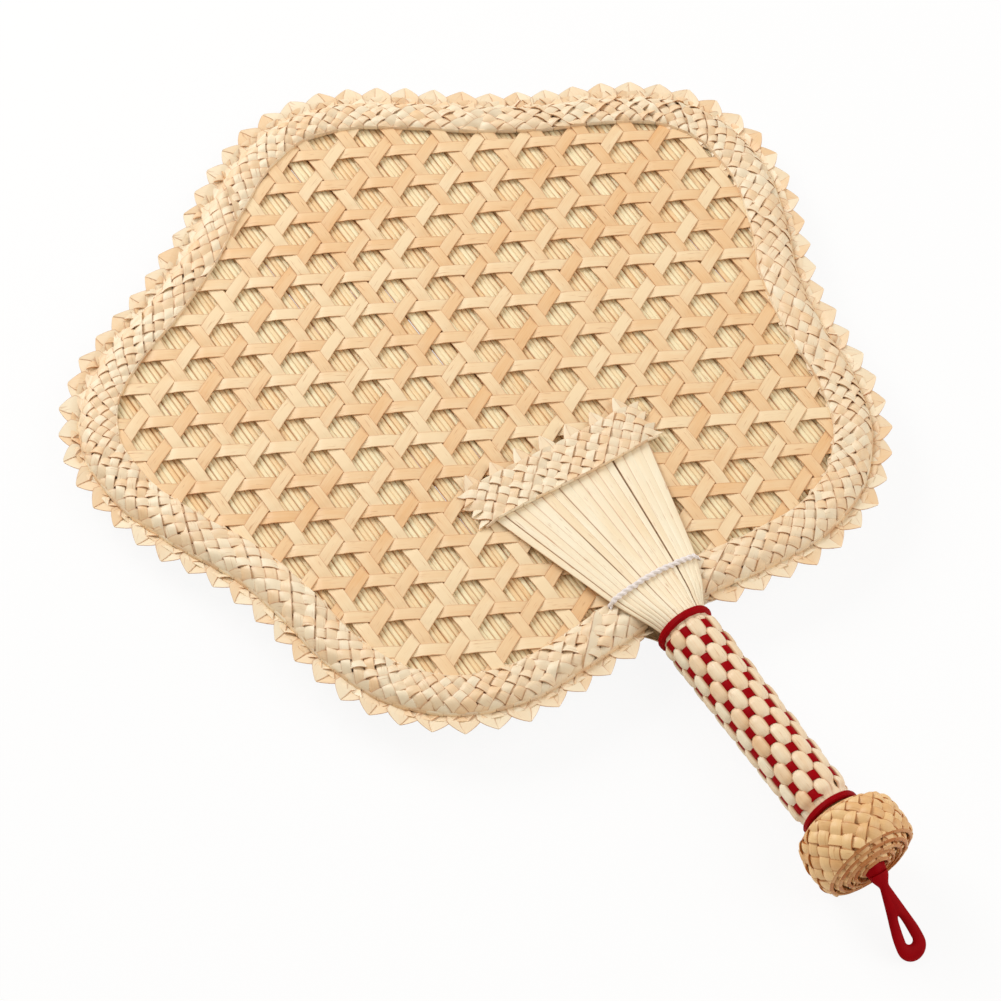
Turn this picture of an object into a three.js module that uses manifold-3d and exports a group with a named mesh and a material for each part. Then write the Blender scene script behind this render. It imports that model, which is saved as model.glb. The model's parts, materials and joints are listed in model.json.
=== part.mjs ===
// A hand-woven straw fan: a five-lobed leaf of crossing straw strips over a mat of stems, a plaited
// border with folded points, a woven grip, a rolled pommel and a ribbon loop to hang it by.
// Lengths are millimetres and angles degrees. The leaf lies in the fan's own XY plane, its tip
// towards +Y, and the whole fan is tipped so that its pommel and its leaf tip stand on Z = 0.
import * as THREE from 'three';
import { mergeVertices } from 'three/addons/utils/BufferGeometryUtils.js';
import Module from 'manifold-3d';

const wasm = await Module();
wasm.setup();

// Gap kept between pieces that lie on each other
const touchGap = 0.3;

// Leaf outline: crowns and waists of the lobes, as angle from the tip and radius from the middle
const tipCrown = { angle: 0, radius: 152.5 };
const upperWaist = { angle: 32, radius: 135.5 };
const sideCrown = { angle: 64, radius: 155 };
const lowerWaist = { angle: 103, radius: 124.5 };
const lowerCrown = { angle: 136, radius: 139.5 };
const leafRoot = { angle: 180, radius: 114 };

// Mat of stems inside the leaf, with a tongue that runs down into the grip
const matThickness = 1.4;
const matInset = 4;
const stemPitch = 2.2;
const stemGroove = 0.35;
const tongueWidth = 10;
const tongueLength = 26;
const tongueShoulder = 7.5;

// Straw strips that cross in three directions over each face of the mat
const stripWidth = 4.9;
const stripThickness = 0.35;
const axialSpacing = 15.45;
const axialDirection = 90;
const stripSlant = 28.3;
const stripTuck = 8;
const stripBend = 0.5;
const stripFlare = 0.1;
const hexagonCentre = new THREE.Vector2(-9.2, 7.8);

// Border plait, with points folded along its free edge
const borderWidth = 18;
const borderThickness = 1.6;
const pointPitch = 10.8;
const pointHeight = 4.5;
const innerPointHeight = 2.5;
const foldInset = 1.5;
const frontSetBack = 4;
const frontPointsFrom = -62;
const frontPointsTo = 58;
const borderEnd = 172;

// Splayed straws that spread from the grip over the leaf
const splayStraws = 17;
const strawThickness = 0.5;
const splayTopHalfWidth = 31.7;
const splayTopEnd = 40;
const splayTopBow = 1;
const splayBindHalfWidth = 17.8;
const splayBindY = 99.5;
const splayBindRise = 1;
const splayBindBow = 25;
const splayEdgeHalfWidth = 12.5;
const splayEdgeY = 112;
const splayEdgeRise = 2.4;
const splayEdgeBow = 50;
const splayRingSpread = 78;

// Short plait that covers the upper ends of the splay, and the thread that binds it
const rootBraidHalfLength = 36.5;
const rootBraidLow = 49;
const rootBraidWidth = 17.5;
const rootBraidPoints = 7;
const threadDiameter = 1.6;
const threadOverhang = 1.06;

// Grip: a core of bundled stems, straw stakes and one red ribbon woven round them
const coreRadius = 8.2;
const coreTipRadius = 6.4;
const corePegLength = 19;
const stakeCount = 15;
const stakeThickness = 0.7;
const stakeUnderWidth = 3.1;
const stakeOverWidth = 3.9;
const ribbonWidth = 3.2;
const ribbonThickness = 0.6;
const ribbonRounds = 12;
const ribbonPitch = 6.3;
const ribbonStart = 124.5;
const ringY = 118.6;
const ringWidth = 3.2;
const ringThickness = 1.3;

// Pommel: a flat plait rolled up round the end of the core
const pommelFront = 206;
const pommelEnd = 230;
const pommelRadius = 20.6;
const pommelBand = 2.3;
const pommelSlack = 0.5;
const pommelTurns = 5;
const pommelFrontDome = 8;
const pommelEndDome = 5;
const pommelEdgeRound = 1.2;
const pommelFlat = 0.5;
const pommelEndPast = 30;

// Ribbon loop, and the folded root that it swings from in the pommel's mouth
const rootPlugLength = 4;
const rootPlugProud = 1.2;
const rootPlugTip = 2.8;
const loopLength = 32;
const loopWidth = 11.4;
const loopThickness = 2.2;
const loopNeckWidth = 3.8;
const loopEyeWidth = 4.6;
const loopEyeLength = 11.5;
const loopBand = 5;
const loopNeckLength = 8;
const loopFlare = 6;

// Facets
const edgeStep = 3;
const roundSides = 24;
const coilSteps = 24;
const sheetFacets = 10;
const loopFacets = 8;
const threadFacets = 3;
const lengthStep = 0.5;
const straightLimit = 0.001;

const straw = material(0xf0d6a4, 0.62);
const paleStraw = material(0xf5e5c0, 0.58);
const stemStraw = material(0xdcb078, 0.7);
const tanStraw = material(0xcba268, 0.68);
const redRibbon = material(0xb30d24, 0.5);
const whiteThread = material(0xebdfe2, 0.75);

// Heights of the layers above the middle of the mat, the same on both faces
const axialBase = matThickness / 2 + touchGap;
const rowBase = axialBase + stripThickness + touchGap;
const risingBase = rowBase + stripThickness + touchGap;
const latticeTop = risingBase + stripThickness;
const borderBase = latticeTop + touchGap;
const borderTop = borderBase + borderThickness;
const splayOverBorder = borderTop + 2 * touchGap;
const splayOverLattice = latticeTop + touchGap;
const rootBraidBase = splayOverLattice + strawThickness + touchGap;

// Slanting strips pass midway between the crossings of the upright ones at this spacing
const slantSpacing = 2 * axialSpacing * Math.sin(radians(stripSlant));

// Radii in the grip, from the core outwards
const stakeUnder = coreRadius + touchGap;
const ribbonInner = stakeUnder + stakeThickness + touchGap;
const stakeOver = ribbonInner + ribbonThickness + touchGap;
const pommelRise = pommelBand + pommelSlack;
const pommelBore = pommelRadius - pommelBand - pommelRise * pommelTurns;
const pegRadius = pommelBore - touchGap;
const endRingY = pommelFront - touchGap - ringWidth / 2;

function material(color, roughness) {
  return new THREE.MeshStandardMaterial({ color, roughness, metalness: 0 });
}

// The fan stands on the flat of its pommel and on the lowest points of its leaf's tip
const tipReach = Math.max(...backEdge().map((point) => point.y));
const standHeight = pommelRadius - (pommelRise * pommelEndPast) / 360 - pommelFlat;
const standY = pommelFront + pommelFrontDome;
const tilt = Math.atan2(standHeight - borderTop, tipReach + standY);
const lift = borderTop * Math.cos(tilt) + tipReach * Math.sin(tilt);

// The loop's pivot clears the root's end, and its droop lets its far end lie on the table
const loopPivotY = pommelEnd + rootPlugProud + loopThickness / 2 + touchGap;
const loopPivotHeight = lift + loopPivotY * Math.sin(tilt);
const loopDroop = Math.asin((loopPivotHeight - touchGap - loopThickness / 2) / loopLength) + tilt;

const fan = new THREE.Group();

function addPiece(name, geometry, look, parent = fan) {
  const piece = new THREE.Mesh(geometry, look.clone());
  piece.name = name;
  parent.add(piece);
}

function radians(angle) {
  return THREE.MathUtils.degToRad(angle);
}

// Solids for joining and cutting
function solidOf(geometry) {
  const bare = geometry.clone();
  bare.deleteAttribute('normal');
  bare.deleteAttribute('uv');
  const merged = mergeVertices(bare);
  const vertProperties = Float32Array.from(merged.attributes.position.array);
  const triVerts = Uint32Array.from(merged.index.array);
  return new wasm.Manifold(new wasm.Mesh({ numProp: 3, vertProperties, triVerts }));
}

function geometryOf(solid) {
  const shape = solid.getMesh();
  const geometry = new THREE.BufferGeometry();
  geometry.setAttribute('position', new THREE.BufferAttribute(Float32Array.from(shape.vertProperties), 3));
  geometry.setIndex(new THREE.BufferAttribute(Uint32Array.from(shape.triVerts), 1));
  geometry.computeVertexNormals();
  return geometry;
}

// A closed body through loops of points: each loop has as many points as the next, and its two
// ends are capped as flat outlines seen along the given two axes
function loft(loops, capAxes) {
  const size = loops[0].length;
  const corners = loops.flat();
  const faces = [];
  for (let ring = 0; ring + 1 < loops.length; ring += 1) {
    for (let side = 0; side < size; side += 1) {
      const here = ring * size + side;
      const beside = ring * size + ((side + 1) % size);
      faces.push(here, beside, here + size);
      faces.push(beside, beside + size, here + size);
    }
  }
  const lastRing = (loops.length - 1) * size;
  for (const [a, b, c] of capFaces(loops[0], capAxes)) {
    faces.push(a, c, b);
  }
  for (const [a, b, c] of capFaces(loops[loops.length - 1], capAxes)) {
    faces.push(lastRing + a, lastRing + b, lastRing + c);
  }
  return outwardGeometry(corners, faces);
}

function capFaces(loop, [first, second]) {
  const outline = loop.map((point) => new THREE.Vector2(point[first], point[second]));
  const turnsBack = THREE.ShapeUtils.isClockWise(outline);
  const faces = THREE.ShapeUtils.triangulateShape(turnsBack ? outline.toReversed() : outline, []);
  if (!turnsBack) {
    return faces;
  }
  return faces.map(([a, b, c]) => [loop.length - 1 - a, loop.length - 1 - c, loop.length - 1 - b]);
}

// Turns every face round when the faces enclose a negative volume
function outwardGeometry(corners, faces) {
  let volume = 0;
  for (let face = 0; face < faces.length; face += 3) {
    const [a, b, c] = [0, 1, 2].map((corner) => corners[faces[face + corner]]);
    volume += a.dot(new THREE.Vector3().crossVectors(b, c));
  }
  const geometry = new THREE.BufferGeometry().setFromPoints(corners);
  geometry.setIndex(volume > 0 ? faces : faces.toReversed());
  geometry.computeVertexNormals();
  return geometry;
}

// Corners of an outline, without the points that lie on a straight line between their neighbours
function realCorners(points) {
  return points.filter((point, i) => {
    const before = point.clone().sub(points[(i + points.length - 1) % points.length]);
    const after = points[(i + 1) % points.length].clone().sub(point);
    return Math.abs(before.cross(after)) > straightLimit;
  });
}

// A flat plate of an outline, standing on a base height on the front or, mirrored, on the back
function plate(points, base, thickness, side) {
  const shape = new THREE.Shape(realCorners(points));
  const geometry = new THREE.ExtrudeGeometry(shape, { depth: thickness, bevelEnabled: false });
  return geometry.translate(0, 0, side > 0 ? base : -base - thickness);
}

// The leaf's edge: radius between two neighbouring crowns and waists follows a cosine
function edgeRadius(angle) {
  const lobes = [tipCrown, upperWaist, sideCrown, lowerWaist, lowerCrown, leafRoot];
  const folded = Math.abs(angle) > 180 ? 360 - Math.abs(angle) : Math.abs(angle);
  const next = Math.max(1, lobes.findIndex((lobe) => lobe.angle >= folded));
  const [from, to] = [lobes[next - 1], lobes[next]];
  const share = (folded - from.angle) / (to.angle - from.angle);
  const swing = (1 - Math.cos(Math.PI * share)) / 2;
  return from.radius + (to.radius - from.radius) * swing;
}

function edgePoint(angle, inset = 0) {
  const at = (turn) => {
    const radius = edgeRadius(turn);
    return new THREE.Vector2(radius * Math.sin(radians(turn)), radius * Math.cos(radians(turn)));
  };
  const travel = at(angle + lengthStep).sub(at(angle - lengthStep)).normalize();
  const inward = new THREE.Vector2(travel.y, -travel.x);
  return at(angle).addScaledVector(inward, inset);
}

function edgeLine(from, to, inset) {
  const count = Math.round((to - from) / edgeStep);
  return Array.from({ length: count + 1 }, (_, i) => edgePoint(from + ((to - from) * i) / count, inset));
}

// Angles that divide the border into equal lengths of about one point each
function borderAngles() {
  const angles = [];
  const lengths = [];
  let length = 0;
  for (let angle = -borderEnd; angle <= borderEnd; angle += lengthStep) {
    if (angles.length > 0) {
      length += edgePoint(angle).distanceTo(edgePoint(angle - lengthStep));
    }
    angles.push(angle);
    lengths.push(length);
  }
  const count = Math.round(length / pointPitch);
  return Array.from({ length: count + 1 }, (_, i) => {
    const wanted = (length * i) / count;
    return angles[lengths.findIndex((reached) => reached >= wanted - lengthStep / 2)];
  });
}

// One edge of a border: a run along the leaf's edge with a point between every two steps
function pointedEdge(angles, insetAt, heightAt) {
  const line = [];
  angles.forEach((angle, i) => {
    line.push(edgePoint(angle, insetAt(angle)));
    if (i + 1 < angles.length) {
      const middle = (angle + angles[i + 1]) / 2;
      if (heightAt(middle) !== 0) {
        line.push(edgePoint(middle, insetAt(middle) - heightAt(middle)));
      }
    }
  });
  return line;
}

function backEdge() {
  return pointedEdge(borderAngles(), () => 0, () => pointHeight);
}

// The front's points stand between those of the back, and a little behind them
function addBorders() {
  const angles = borderAngles();
  const middles = angles.slice(1).map((angle, i) => (angle + angles[i]) / 2);
  const frontAngles = [-borderEnd, ...middles, borderEnd];
  const pointsOut = (angle) => angle > frontPointsFrom && angle < frontPointsTo;
  const frontOuter = pointedEdge(
    frontAngles,
    (angle) => (pointsOut(angle) ? frontSetBack : foldInset),
    (angle) => (pointsOut(angle) ? pointHeight : 0),
  );
  const frontInner = pointedEdge(
    frontAngles,
    () => borderWidth,
    (angle) => (pointsOut(angle) ? 0 : -innerPointHeight),
  );
  const backInner = pointedEdge(angles, () => borderWidth, () => 0);
  const front = [...frontOuter, ...frontInner.toReversed()];
  const back = [...backEdge(), ...backInner.toReversed()];
  addPiece('front_border', plate(front, borderBase, borderThickness, 1), straw);
  addPiece('back_border', plate(back, borderBase, borderThickness, -1), straw);
}

// Mat of stems: a ribbed sheet cut to the leaf's outline
function addMat() {
  const halfWidth = sideCrown.radius;
  const stems = Math.ceil((2 * halfWidth) / stemPitch);
  const crown = matThickness / 2;
  const ribs = [];
  for (let i = 0; i < stems; i += 1) {
    const x = -halfWidth + i * stemPitch;
    ribs.push(new THREE.Vector2(x, crown - stemGroove), new THREE.Vector2(x + stemPitch / 2, crown));
  }
  const under = ribs.map((point) => new THREE.Vector2(point.x, -point.y)).toReversed();
  const depth = 2 * sideCrown.radius + tongueLength;
  const ribbed = new THREE.Shape([...ribs, ...under]);
  const sheet = new THREE.ExtrudeGeometry(ribbed, { depth, bevelEnabled: false });
  sheet.rotateX(Math.PI / 2).translate(0, tipCrown.radius, 0);
  const neck = leafRoot.radius - matInset;
  const tongueEnd = leafRoot.radius + tongueLength;
  const shoulder = 180 - THREE.MathUtils.radToDeg(Math.asin(tongueShoulder / neck));
  const outline = [
    ...edgeLine(-shoulder, shoulder, matInset),
    new THREE.Vector2(tongueWidth / 2, -neck),
    new THREE.Vector2(tongueWidth / 2, -tongueEnd),
    new THREE.Vector2(-tongueWidth / 2, -tongueEnd),
    new THREE.Vector2(-tongueWidth / 2, -neck),
  ];
  const cutter = plate(outline, -matThickness, 2 * matThickness, 1);
  addPiece('stem_mat', geometryOf(solidOf(sheet).intersect(solidOf(cutter))), stemStraw);
}

// Where the strip at an offset from the middle hexagon starts and ends, or null where none shows
function stripRun(direction, offset) {
  const at = (t) => stripPoint(direction, t, offset);
  const depth = (t) => {
    const point = at(t);
    const angle = THREE.MathUtils.radToDeg(Math.atan2(point.x, point.y));
    return edgeRadius(angle) - point.length() - stripTuck;
  };
  const reach = 2 * sideCrown.radius;
  let deepest = -reach;
  for (let t = -reach; t <= reach; t += lengthStep) {
    deepest = depth(t) > depth(deepest) ? t : deepest;
  }
  if (depth(deepest) < borderWidth - stripTuck) {
    return null;
  }
  let [from, to] = [deepest, deepest];
  while (depth(from - lengthStep) > 0) {
    from -= lengthStep;
  }
  while (depth(to + lengthStep) > 0) {
    to += lengthStep;
  }
  return { offset, from, to };
}

// A point along and across one direction of strips
function stripPoint(direction, along, across) {
  const placed = new THREE.Vector2(along, across).rotateAround(new THREE.Vector2(), radians(direction));
  return placed.add(hexagonCentre);
}

// Outline of a band laid to and fro: each run ends a little past its width, then slants to the next.
// Its turns bulge and flare a little, so that no three corners lie on one line
function bandOutline(direction, runs) {
  const half = stripWidth / 2;
  const at = (along, across) => stripPoint(direction, along, across);
  const first = runs[0];
  const left = [at(first.from, first.offset + half)];
  const right = [at(first.from, first.offset - half)];
  for (let i = 0; i + 1 < runs.length; i += 1) {
    const [here, next] = [runs[i], runs[i + 1]];
    const goesOut = i % 2 === 0;
    const [inner, outer] = goesOut ? [left, right] : [right, left];
    const tip = (run) => (goesOut ? run.to : run.from);
    const ahead = goesOut ? 1 : -1;
    const back = -ahead * stripWidth;
    const bend = ahead * stripBend;
    const flared = half + stripFlare;
    inner.push(at(tip(here) + back, here.offset + flared), at(tip(next) + back, next.offset - flared));
    outer.push(at(tip(here), here.offset - half), at(tip(here) + bend, here.offset + half));
    outer.push(at(tip(next) + bend, next.offset - half), at(tip(next), next.offset + half));
  }
  const last = runs[runs.length - 1];
  const endsOut = runs.length % 2 === 1;
  const end = endsOut ? last.to : last.from;
  left.push(at(end, last.offset + (endsOut ? half : -half)));
  right.push(at(end, last.offset + (endsOut ? -half : half)));
  return [...left, ...right.toReversed()];
}

// One direction of strips on one face, its turns hidden under the border
function addStrips(name, direction, spacing, base, side) {
  const count = Math.ceil((2 * sideCrown.radius) / spacing);
  const runs = [];
  for (let i = -count; i < count; i += 1) {
    const run = stripRun(direction, (i + 0.5) * spacing);
    if (run) {
      runs.push(run);
    }
  }
  addPiece(name, plate(bandOutline(direction, runs), base, stripThickness, side), straw);
}

function addLattice() {
  for (const [face, side] of [['front', 1], ['back', -1]]) {
    addStrips(`${face}_axial_strips`, axialDirection, axialSpacing, axialBase, side);
    addStrips(`${face}_row_strips`, -stripSlant, slantSpacing, rowBase, side);
    addStrips(`${face}_rising_strips`, stripSlant, slantSpacing, risingBase, side);
  }
}

// Splay: straws part a surface that is arched at the ring and flat on the leaf. Each section gives
// the underside's height at the middle, how far the edges drop below it and how far it is bowed
const ringArch = {
  halfWidth: stakeUnder * Math.sin(radians(splayRingSpread)),
  height: stakeUnder,
  drop: stakeUnder * (1 - Math.cos(radians(splayRingSpread))),
  bow: splayRingSpread,
};
const bindSection = {
  y: -splayBindY,
  halfWidth: splayBindHalfWidth,
  height: splayOverBorder + splayBindRise,
  drop: splayBindRise,
  bow: splayBindBow,
};
const flatOnLattice = { height: splayOverLattice, drop: 0, bow: splayTopBow };
const splayFlatY = rootBraidLow + touchGap;
const splaySpread = (splayTopHalfWidth - splayBindHalfWidth) / (splayBindY - splayFlatY);
const splayEndHalfWidth = splayTopHalfWidth + splaySpread * (splayFlatY - splayTopEnd);
const splaySections = [
  { y: -ringY, ...ringArch },
  { y: touchGap + ringWidth / 2 - ringY, ...ringArch },
  {
    y: -splayEdgeY,
    halfWidth: splayEdgeHalfWidth,
    height: splayOverBorder + splayEdgeRise,
    drop: splayEdgeRise,
    bow: splayEdgeBow,
  },
  bindSection,
  { y: -splayFlatY, halfWidth: splayTopHalfWidth, ...flatOnLattice },
  { y: -splayTopEnd, halfWidth: splayEndHalfWidth, ...flatOnLattice },
];

// A point of the splay's surface: place runs from -1 at one edge to 1 at the other
function splayPoint(section, place, above, side) {
  const bow = radians(section.bow);
  const x = (section.halfWidth * Math.sin(bow * place)) / Math.sin(bow);
  const fall = (section.drop * (1 - Math.cos(bow * place))) / (1 - Math.cos(bow));
  return new THREE.Vector3(x, section.y, side * (section.height - fall + above));
}

function strawEdges(section, index) {
  const middle = ((2 * index + 1) / splayStraws) - 1;
  const reach = 1 / splayStraws;
  const edges = [middle - reach, middle + reach];
  const [left, right] = edges.map((place) => splayPoint(section, place, 0, 1));
  const trim = (reach * touchGap) / left.distanceTo(right);
  return [edges[0] + trim, middle, edges[1] - trim];
}

// One straw: flat underneath and crowned on top
function strawLoop(section, index, side) {
  const [left, middle, right] = strawEdges(section, index);
  return [
    splayPoint(section, left, 0, side),
    splayPoint(section, right, 0, side),
    splayPoint(section, right, strawThickness / 2, side),
    splayPoint(section, middle, strawThickness, side),
    splayPoint(section, left, strawThickness / 2, side),
  ];
}

// The straws of the back lie edge to edge as one sheet, crowned like the single ones
function sheetLoop(section, side) {
  const top = Array.from({ length: 2 * splayStraws + 1 }, (_, i) => {
    const above = i % 2 === 0 ? strawThickness / 2 : strawThickness;
    return splayPoint(section, i / splayStraws - 1, above, side);
  });
  const under = Array.from({ length: sheetFacets + 1 }, (_, i) => {
    return splayPoint(section, 1 - (2 * i) / sheetFacets, 0, side);
  });
  return [...top, ...under];
}

function addSplays() {
  for (let i = 0; i < splayStraws; i += 1) {
    const loops = splaySections.map((section) => strawLoop(section, i, 1));
    addPiece(`front_splay_straw_${i + 1}`, loft(loops, ['x', 'z']), paleStraw);
  }
  const sheet = splaySections.map((section) => sheetLoop(section, -1));
  addPiece('back_splay', loft(sheet, ['x', 'z']), paleStraw);
}

// Short plait over the splay's upper ends: folded edge below, points above
function addRootBraids() {
  const low = -rootBraidLow;
  const high = low + rootBraidWidth;
  const pitch = (2 * rootBraidHalfLength) / rootBraidPoints;
  const outline = [
    new THREE.Vector2(-rootBraidHalfLength, low),
    new THREE.Vector2(rootBraidHalfLength, low),
    new THREE.Vector2(rootBraidHalfLength, high),
  ];
  for (let i = 0; i < rootBraidPoints; i += 1) {
    const right = rootBraidHalfLength - i * pitch;
    outline.push(new THREE.Vector2(right - pitch / 2, high + pointHeight));
    outline.push(new THREE.Vector2(right - pitch, high));
  }
  addPiece('front_root_braid', plate(outline, rootBraidBase, borderThickness, 1), straw);
  addPiece('back_root_braid', plate(outline, rootBraidBase, borderThickness, -1), straw);
}

// Binding thread: one strand across the splay where it passes over the border
function addThreads() {
  const above = strawThickness + touchGap + threadDiameter / 2;
  const places = [-threadOverhang, -threadOverhang / 2, 0, threadOverhang / 2, threadOverhang];
  for (const [face, side] of [['front', 1], ['back', -1]]) {
    const points = places.map((place) => splayPoint(bindSection, place, above, side));
    const route = new THREE.CatmullRomCurve3(points);
    const strand = new THREE.Shape().absarc(0, 0, threadDiameter / 2, 0, 2 * Math.PI);
    const options = { extrudePath: route, steps: roundSides / 2, curveSegments: threadFacets };
    addPiece(`${face}_binding_thread`, new THREE.ExtrudeGeometry(strand, options), whiteThread);
  }
}

// A body of revolution about the handle's axis, from radius and distance below the leaf's middle
function turned(profile) {
  const points = profile.map(([radius, distance]) => new THREE.Vector2(radius, -distance));
  return new THREE.LatheGeometry(points.toReversed(), roundSides);
}

// Core of bundled stems: slotted for the mat's tongue, with a peg for the pommel
function addCore() {
  const top = leafRoot.radius + touchGap;
  const gripEnd = pommelFront - touchGap;
  const bundle = turned([
    [0, top],
    [coreTipRadius, top],
    [coreRadius, ringY],
    [coreRadius, gripEnd],
    [pegRadius, gripEnd],
    [pegRadius, pommelFront + corePegLength],
    [0, pommelFront + corePegLength],
  ]);
  const slotDepth = 2 * tongueLength + 2 * touchGap;
  const slot = new THREE.BoxGeometry(tongueWidth + 2 * touchGap, slotDepth, matThickness + 2 * touchGap);
  slot.translate(0, -leafRoot.radius, 0);
  addPiece('handle_core', geometryOf(solidOf(bundle).subtract(solidOf(slot))), stemStraw);
}

// A red wrap at either end of the grip, over the ends of stakes and straws
function addRing(name, distance) {
  const inner = stakeUnder + stakeThickness + touchGap;
  const outer = inner + ringThickness;
  const half = ringWidth / 2;
  const round = ringThickness / 2;
  const wrap = turned([
    [inner, distance - half],
    [outer - round, distance - half],
    [outer, distance - half + round],
    [outer, distance + half - round],
    [outer - round, distance + half],
    [inner, distance + half],
    [inner, distance - half],
  ]);
  addPiece(name, wrap, redRibbon);
}

function gripPoint(turn, radius, distance) {
  const angle = 2 * Math.PI * turn;
  return new THREE.Vector3(radius * Math.sin(angle), -distance, radius * Math.cos(angle));
}

// The four corners of a stake's section on the grip
function stakeLoop(turn, inner, width, distance) {
  const half = width / 2 / (2 * Math.PI * inner);
  const outer = inner + stakeThickness;
  return [
    gripPoint(turn - half, inner, distance),
    gripPoint(turn + half, inner, distance),
    gripPoint(turn + half, outer, distance),
    gripPoint(turn - half, outer, distance),
  ];
}

// One stake: over and under the ribbon by turns, its neighbours the other way
function addStake(index) {
  const turn = index / stakeCount;
  const flat = ribbonWidth / 2 + touchGap;
  const under = (distance) => stakeLoop(turn, stakeUnder, stakeUnderWidth, distance);
  const loops = [under(ringY + touchGap), under(ringY + ringWidth / 2 + touchGap)];
  for (let round = 0; round < ribbonRounds; round += 1) {
    const crossing = ribbonStart + ribbonPitch * (round + turn);
    const isOver = (round * stakeCount + index) % 2 === 0;
    const inner = isOver ? stakeOver : stakeUnder;
    const width = isOver ? stakeOverWidth : stakeUnderWidth;
    loops.push(stakeLoop(turn, inner, width, crossing - flat));
    loops.push(stakeLoop(turn, inner, width, crossing + flat));
  }
  loops.push(under(endRingY - ringWidth / 2 - touchGap), under(pommelFront - touchGap));
  addPiece(`grip_stake_${index + 1}`, loft(loops, ['x', 'z']), straw);
}

// The red ribbon: one helix, a corner between every two stakes
function addRibbon() {
  const outer = ribbonInner + ribbonThickness;
  const loops = [];
  for (let step = 0; step <= ribbonRounds * stakeCount; step += 1) {
    const turn = (step - 0.5) / stakeCount;
    const middle = ribbonStart + ribbonPitch * turn;
    loops.push([
      gripPoint(turn, ribbonInner, middle - ribbonWidth / 2),
      gripPoint(turn, ribbonInner, middle + ribbonWidth / 2),
      gripPoint(turn, outer, middle + ribbonWidth / 2),
      gripPoint(turn, outer, middle - ribbonWidth / 2),
    ]);
  }
  printLeastGap('grip_ribbon', loops, stakeCount);
  addPiece('grip_ribbon', loft(loops, ['y', 'z']), redRibbon);
}

// Least distance between the sections of a winding and those of its neighbouring turns, measured
// on their corners and on the middles of their sides
function printLeastGap(name, loops, stepsPerTurn) {
  const sections = loops.map((loop) => loop.flatMap((corner, i) => {
    const next = loop[(i + 1) % loop.length];
    return [corner, corner.clone().add(next).multiplyScalar(0.5)];
  }));
  let least = Infinity;
  sections.forEach((section, i) => {
    const near = sections.slice(i + stepsPerTurn - 1, i + stepsPerTurn + 2).flat();
    for (const point of section) {
      for (const other of near) {
        least = Math.min(least, point.distanceTo(other));
      }
    }
  });
  console.log(`${name}: least gap to itself ${least.toFixed(2)} mm`);
}

// Pommel: one band that spirals out turn on turn, flat where it stands. Its edges are rounded and
// stand back in a dome at both ends. Its outer end lies underneath, just past the lowest line
function addPommel() {
  const lowestTurn = 0.5 + pommelEndPast / 360;
  const loops = [];
  for (let step = 0; step <= pommelTurns * coilSteps; step += 1) {
    const wound = step / coilSteps;
    const turn = lowestTurn + wound - pommelTurns;
    const inner = pommelBore + pommelRise * wound;
    const outer = inner + pommelBand;
    const standBack = 1 - Math.sqrt(1 - (wound / pommelTurns) ** 2);
    const front = pommelFront + pommelFrontDome * standBack;
    const end = pommelEnd - pommelEndDome * standBack;
    loops.push([
      gripPoint(turn, inner, front),
      gripPoint(turn, inner, end),
      gripPoint(turn, outer - pommelEdgeRound, end),
      gripPoint(turn, outer, end - pommelEdgeRound),
      gripPoint(turn, outer, front + pommelEdgeRound),
      gripPoint(turn, outer - pommelEdgeRound, front),
    ]);
  }
  printLeastGap('pommel_coil', loops, coilSteps);
  const coil = solidOf(loft(loops, ['y', 'z']));
  const tableSize = 2 * pommelEnd;
  const table = new THREE.BoxGeometry(tableSize, tableSize, pommelRadius);
  table.translate(0, 0, -pommelRadius / 2);
  table.rotateX(tilt).translate(0, -standY, -standHeight);
  addPiece('pommel_coil', geometryOf(coil.subtract(solidOf(table))), tanStraw);
}

// Folded end of the ribbon that fills the pommel's mouth
function addRootPlug() {
  const proud = pommelEnd + rootPlugProud;
  addPiece('loop_root', turned([
    [0, pommelEnd - rootPlugLength],
    [pegRadius, pommelEnd - rootPlugLength],
    [pegRadius, pommelEnd],
    [rootPlugTip, proud],
    [0, proud],
  ]), redRibbon);
}

// Ribbon loop: a flat drop with an eye, hanging from its neck.
// It swings about the X axis through the pivot and at rest lies down to the table
function addLoop() {
  const half = loopWidth / 2;
  const neck = loopNeckWidth / 2;
  const wide = loopLength - half;
  const drop = new THREE.Shape();
  drop.moveTo(-neck, 0);
  drop.lineTo(-neck, -loopNeckLength);
  drop.bezierCurveTo(-neck, -loopNeckLength - loopFlare, -half, loopFlare - wide, -half, -wide);
  drop.absarc(0, -wide, half, Math.PI, 2 * Math.PI, false);
  drop.bezierCurveTo(half, loopFlare - wide, neck, -loopNeckLength - loopFlare, neck, -loopNeckLength);
  drop.lineTo(neck, 0);
  const eyeHalf = loopEyeWidth / 2;
  const eyeEnd = loopLength - loopBand - eyeHalf;
  const eyeTop = loopLength - loopBand - loopEyeLength;
  const eye = new THREE.Path();
  eye.moveTo(0, -eyeTop);
  eye.lineTo(eyeHalf, -eyeTop - eyeHalf);
  eye.lineTo(eyeHalf, -eyeEnd);
  eye.absarc(0, -eyeEnd, eyeHalf, 0, -Math.PI, true);
  eye.lineTo(-eyeHalf, -eyeTop - eyeHalf);
  drop.holes.push(eye);
  const options = { depth: loopThickness, bevelEnabled: false, curveSegments: loopFacets };
  const geometry = new THREE.ExtrudeGeometry(drop, options);
  geometry.translate(0, 0, -loopThickness / 2);
  const pivot = new THREE.Group();
  pivot.position.y = -loopPivotY;
  pivot.rotation.x = loopDroop;
  addPiece('hanging_loop', geometry, redRibbon, pivot);
  fan.add(pivot);
}

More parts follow.
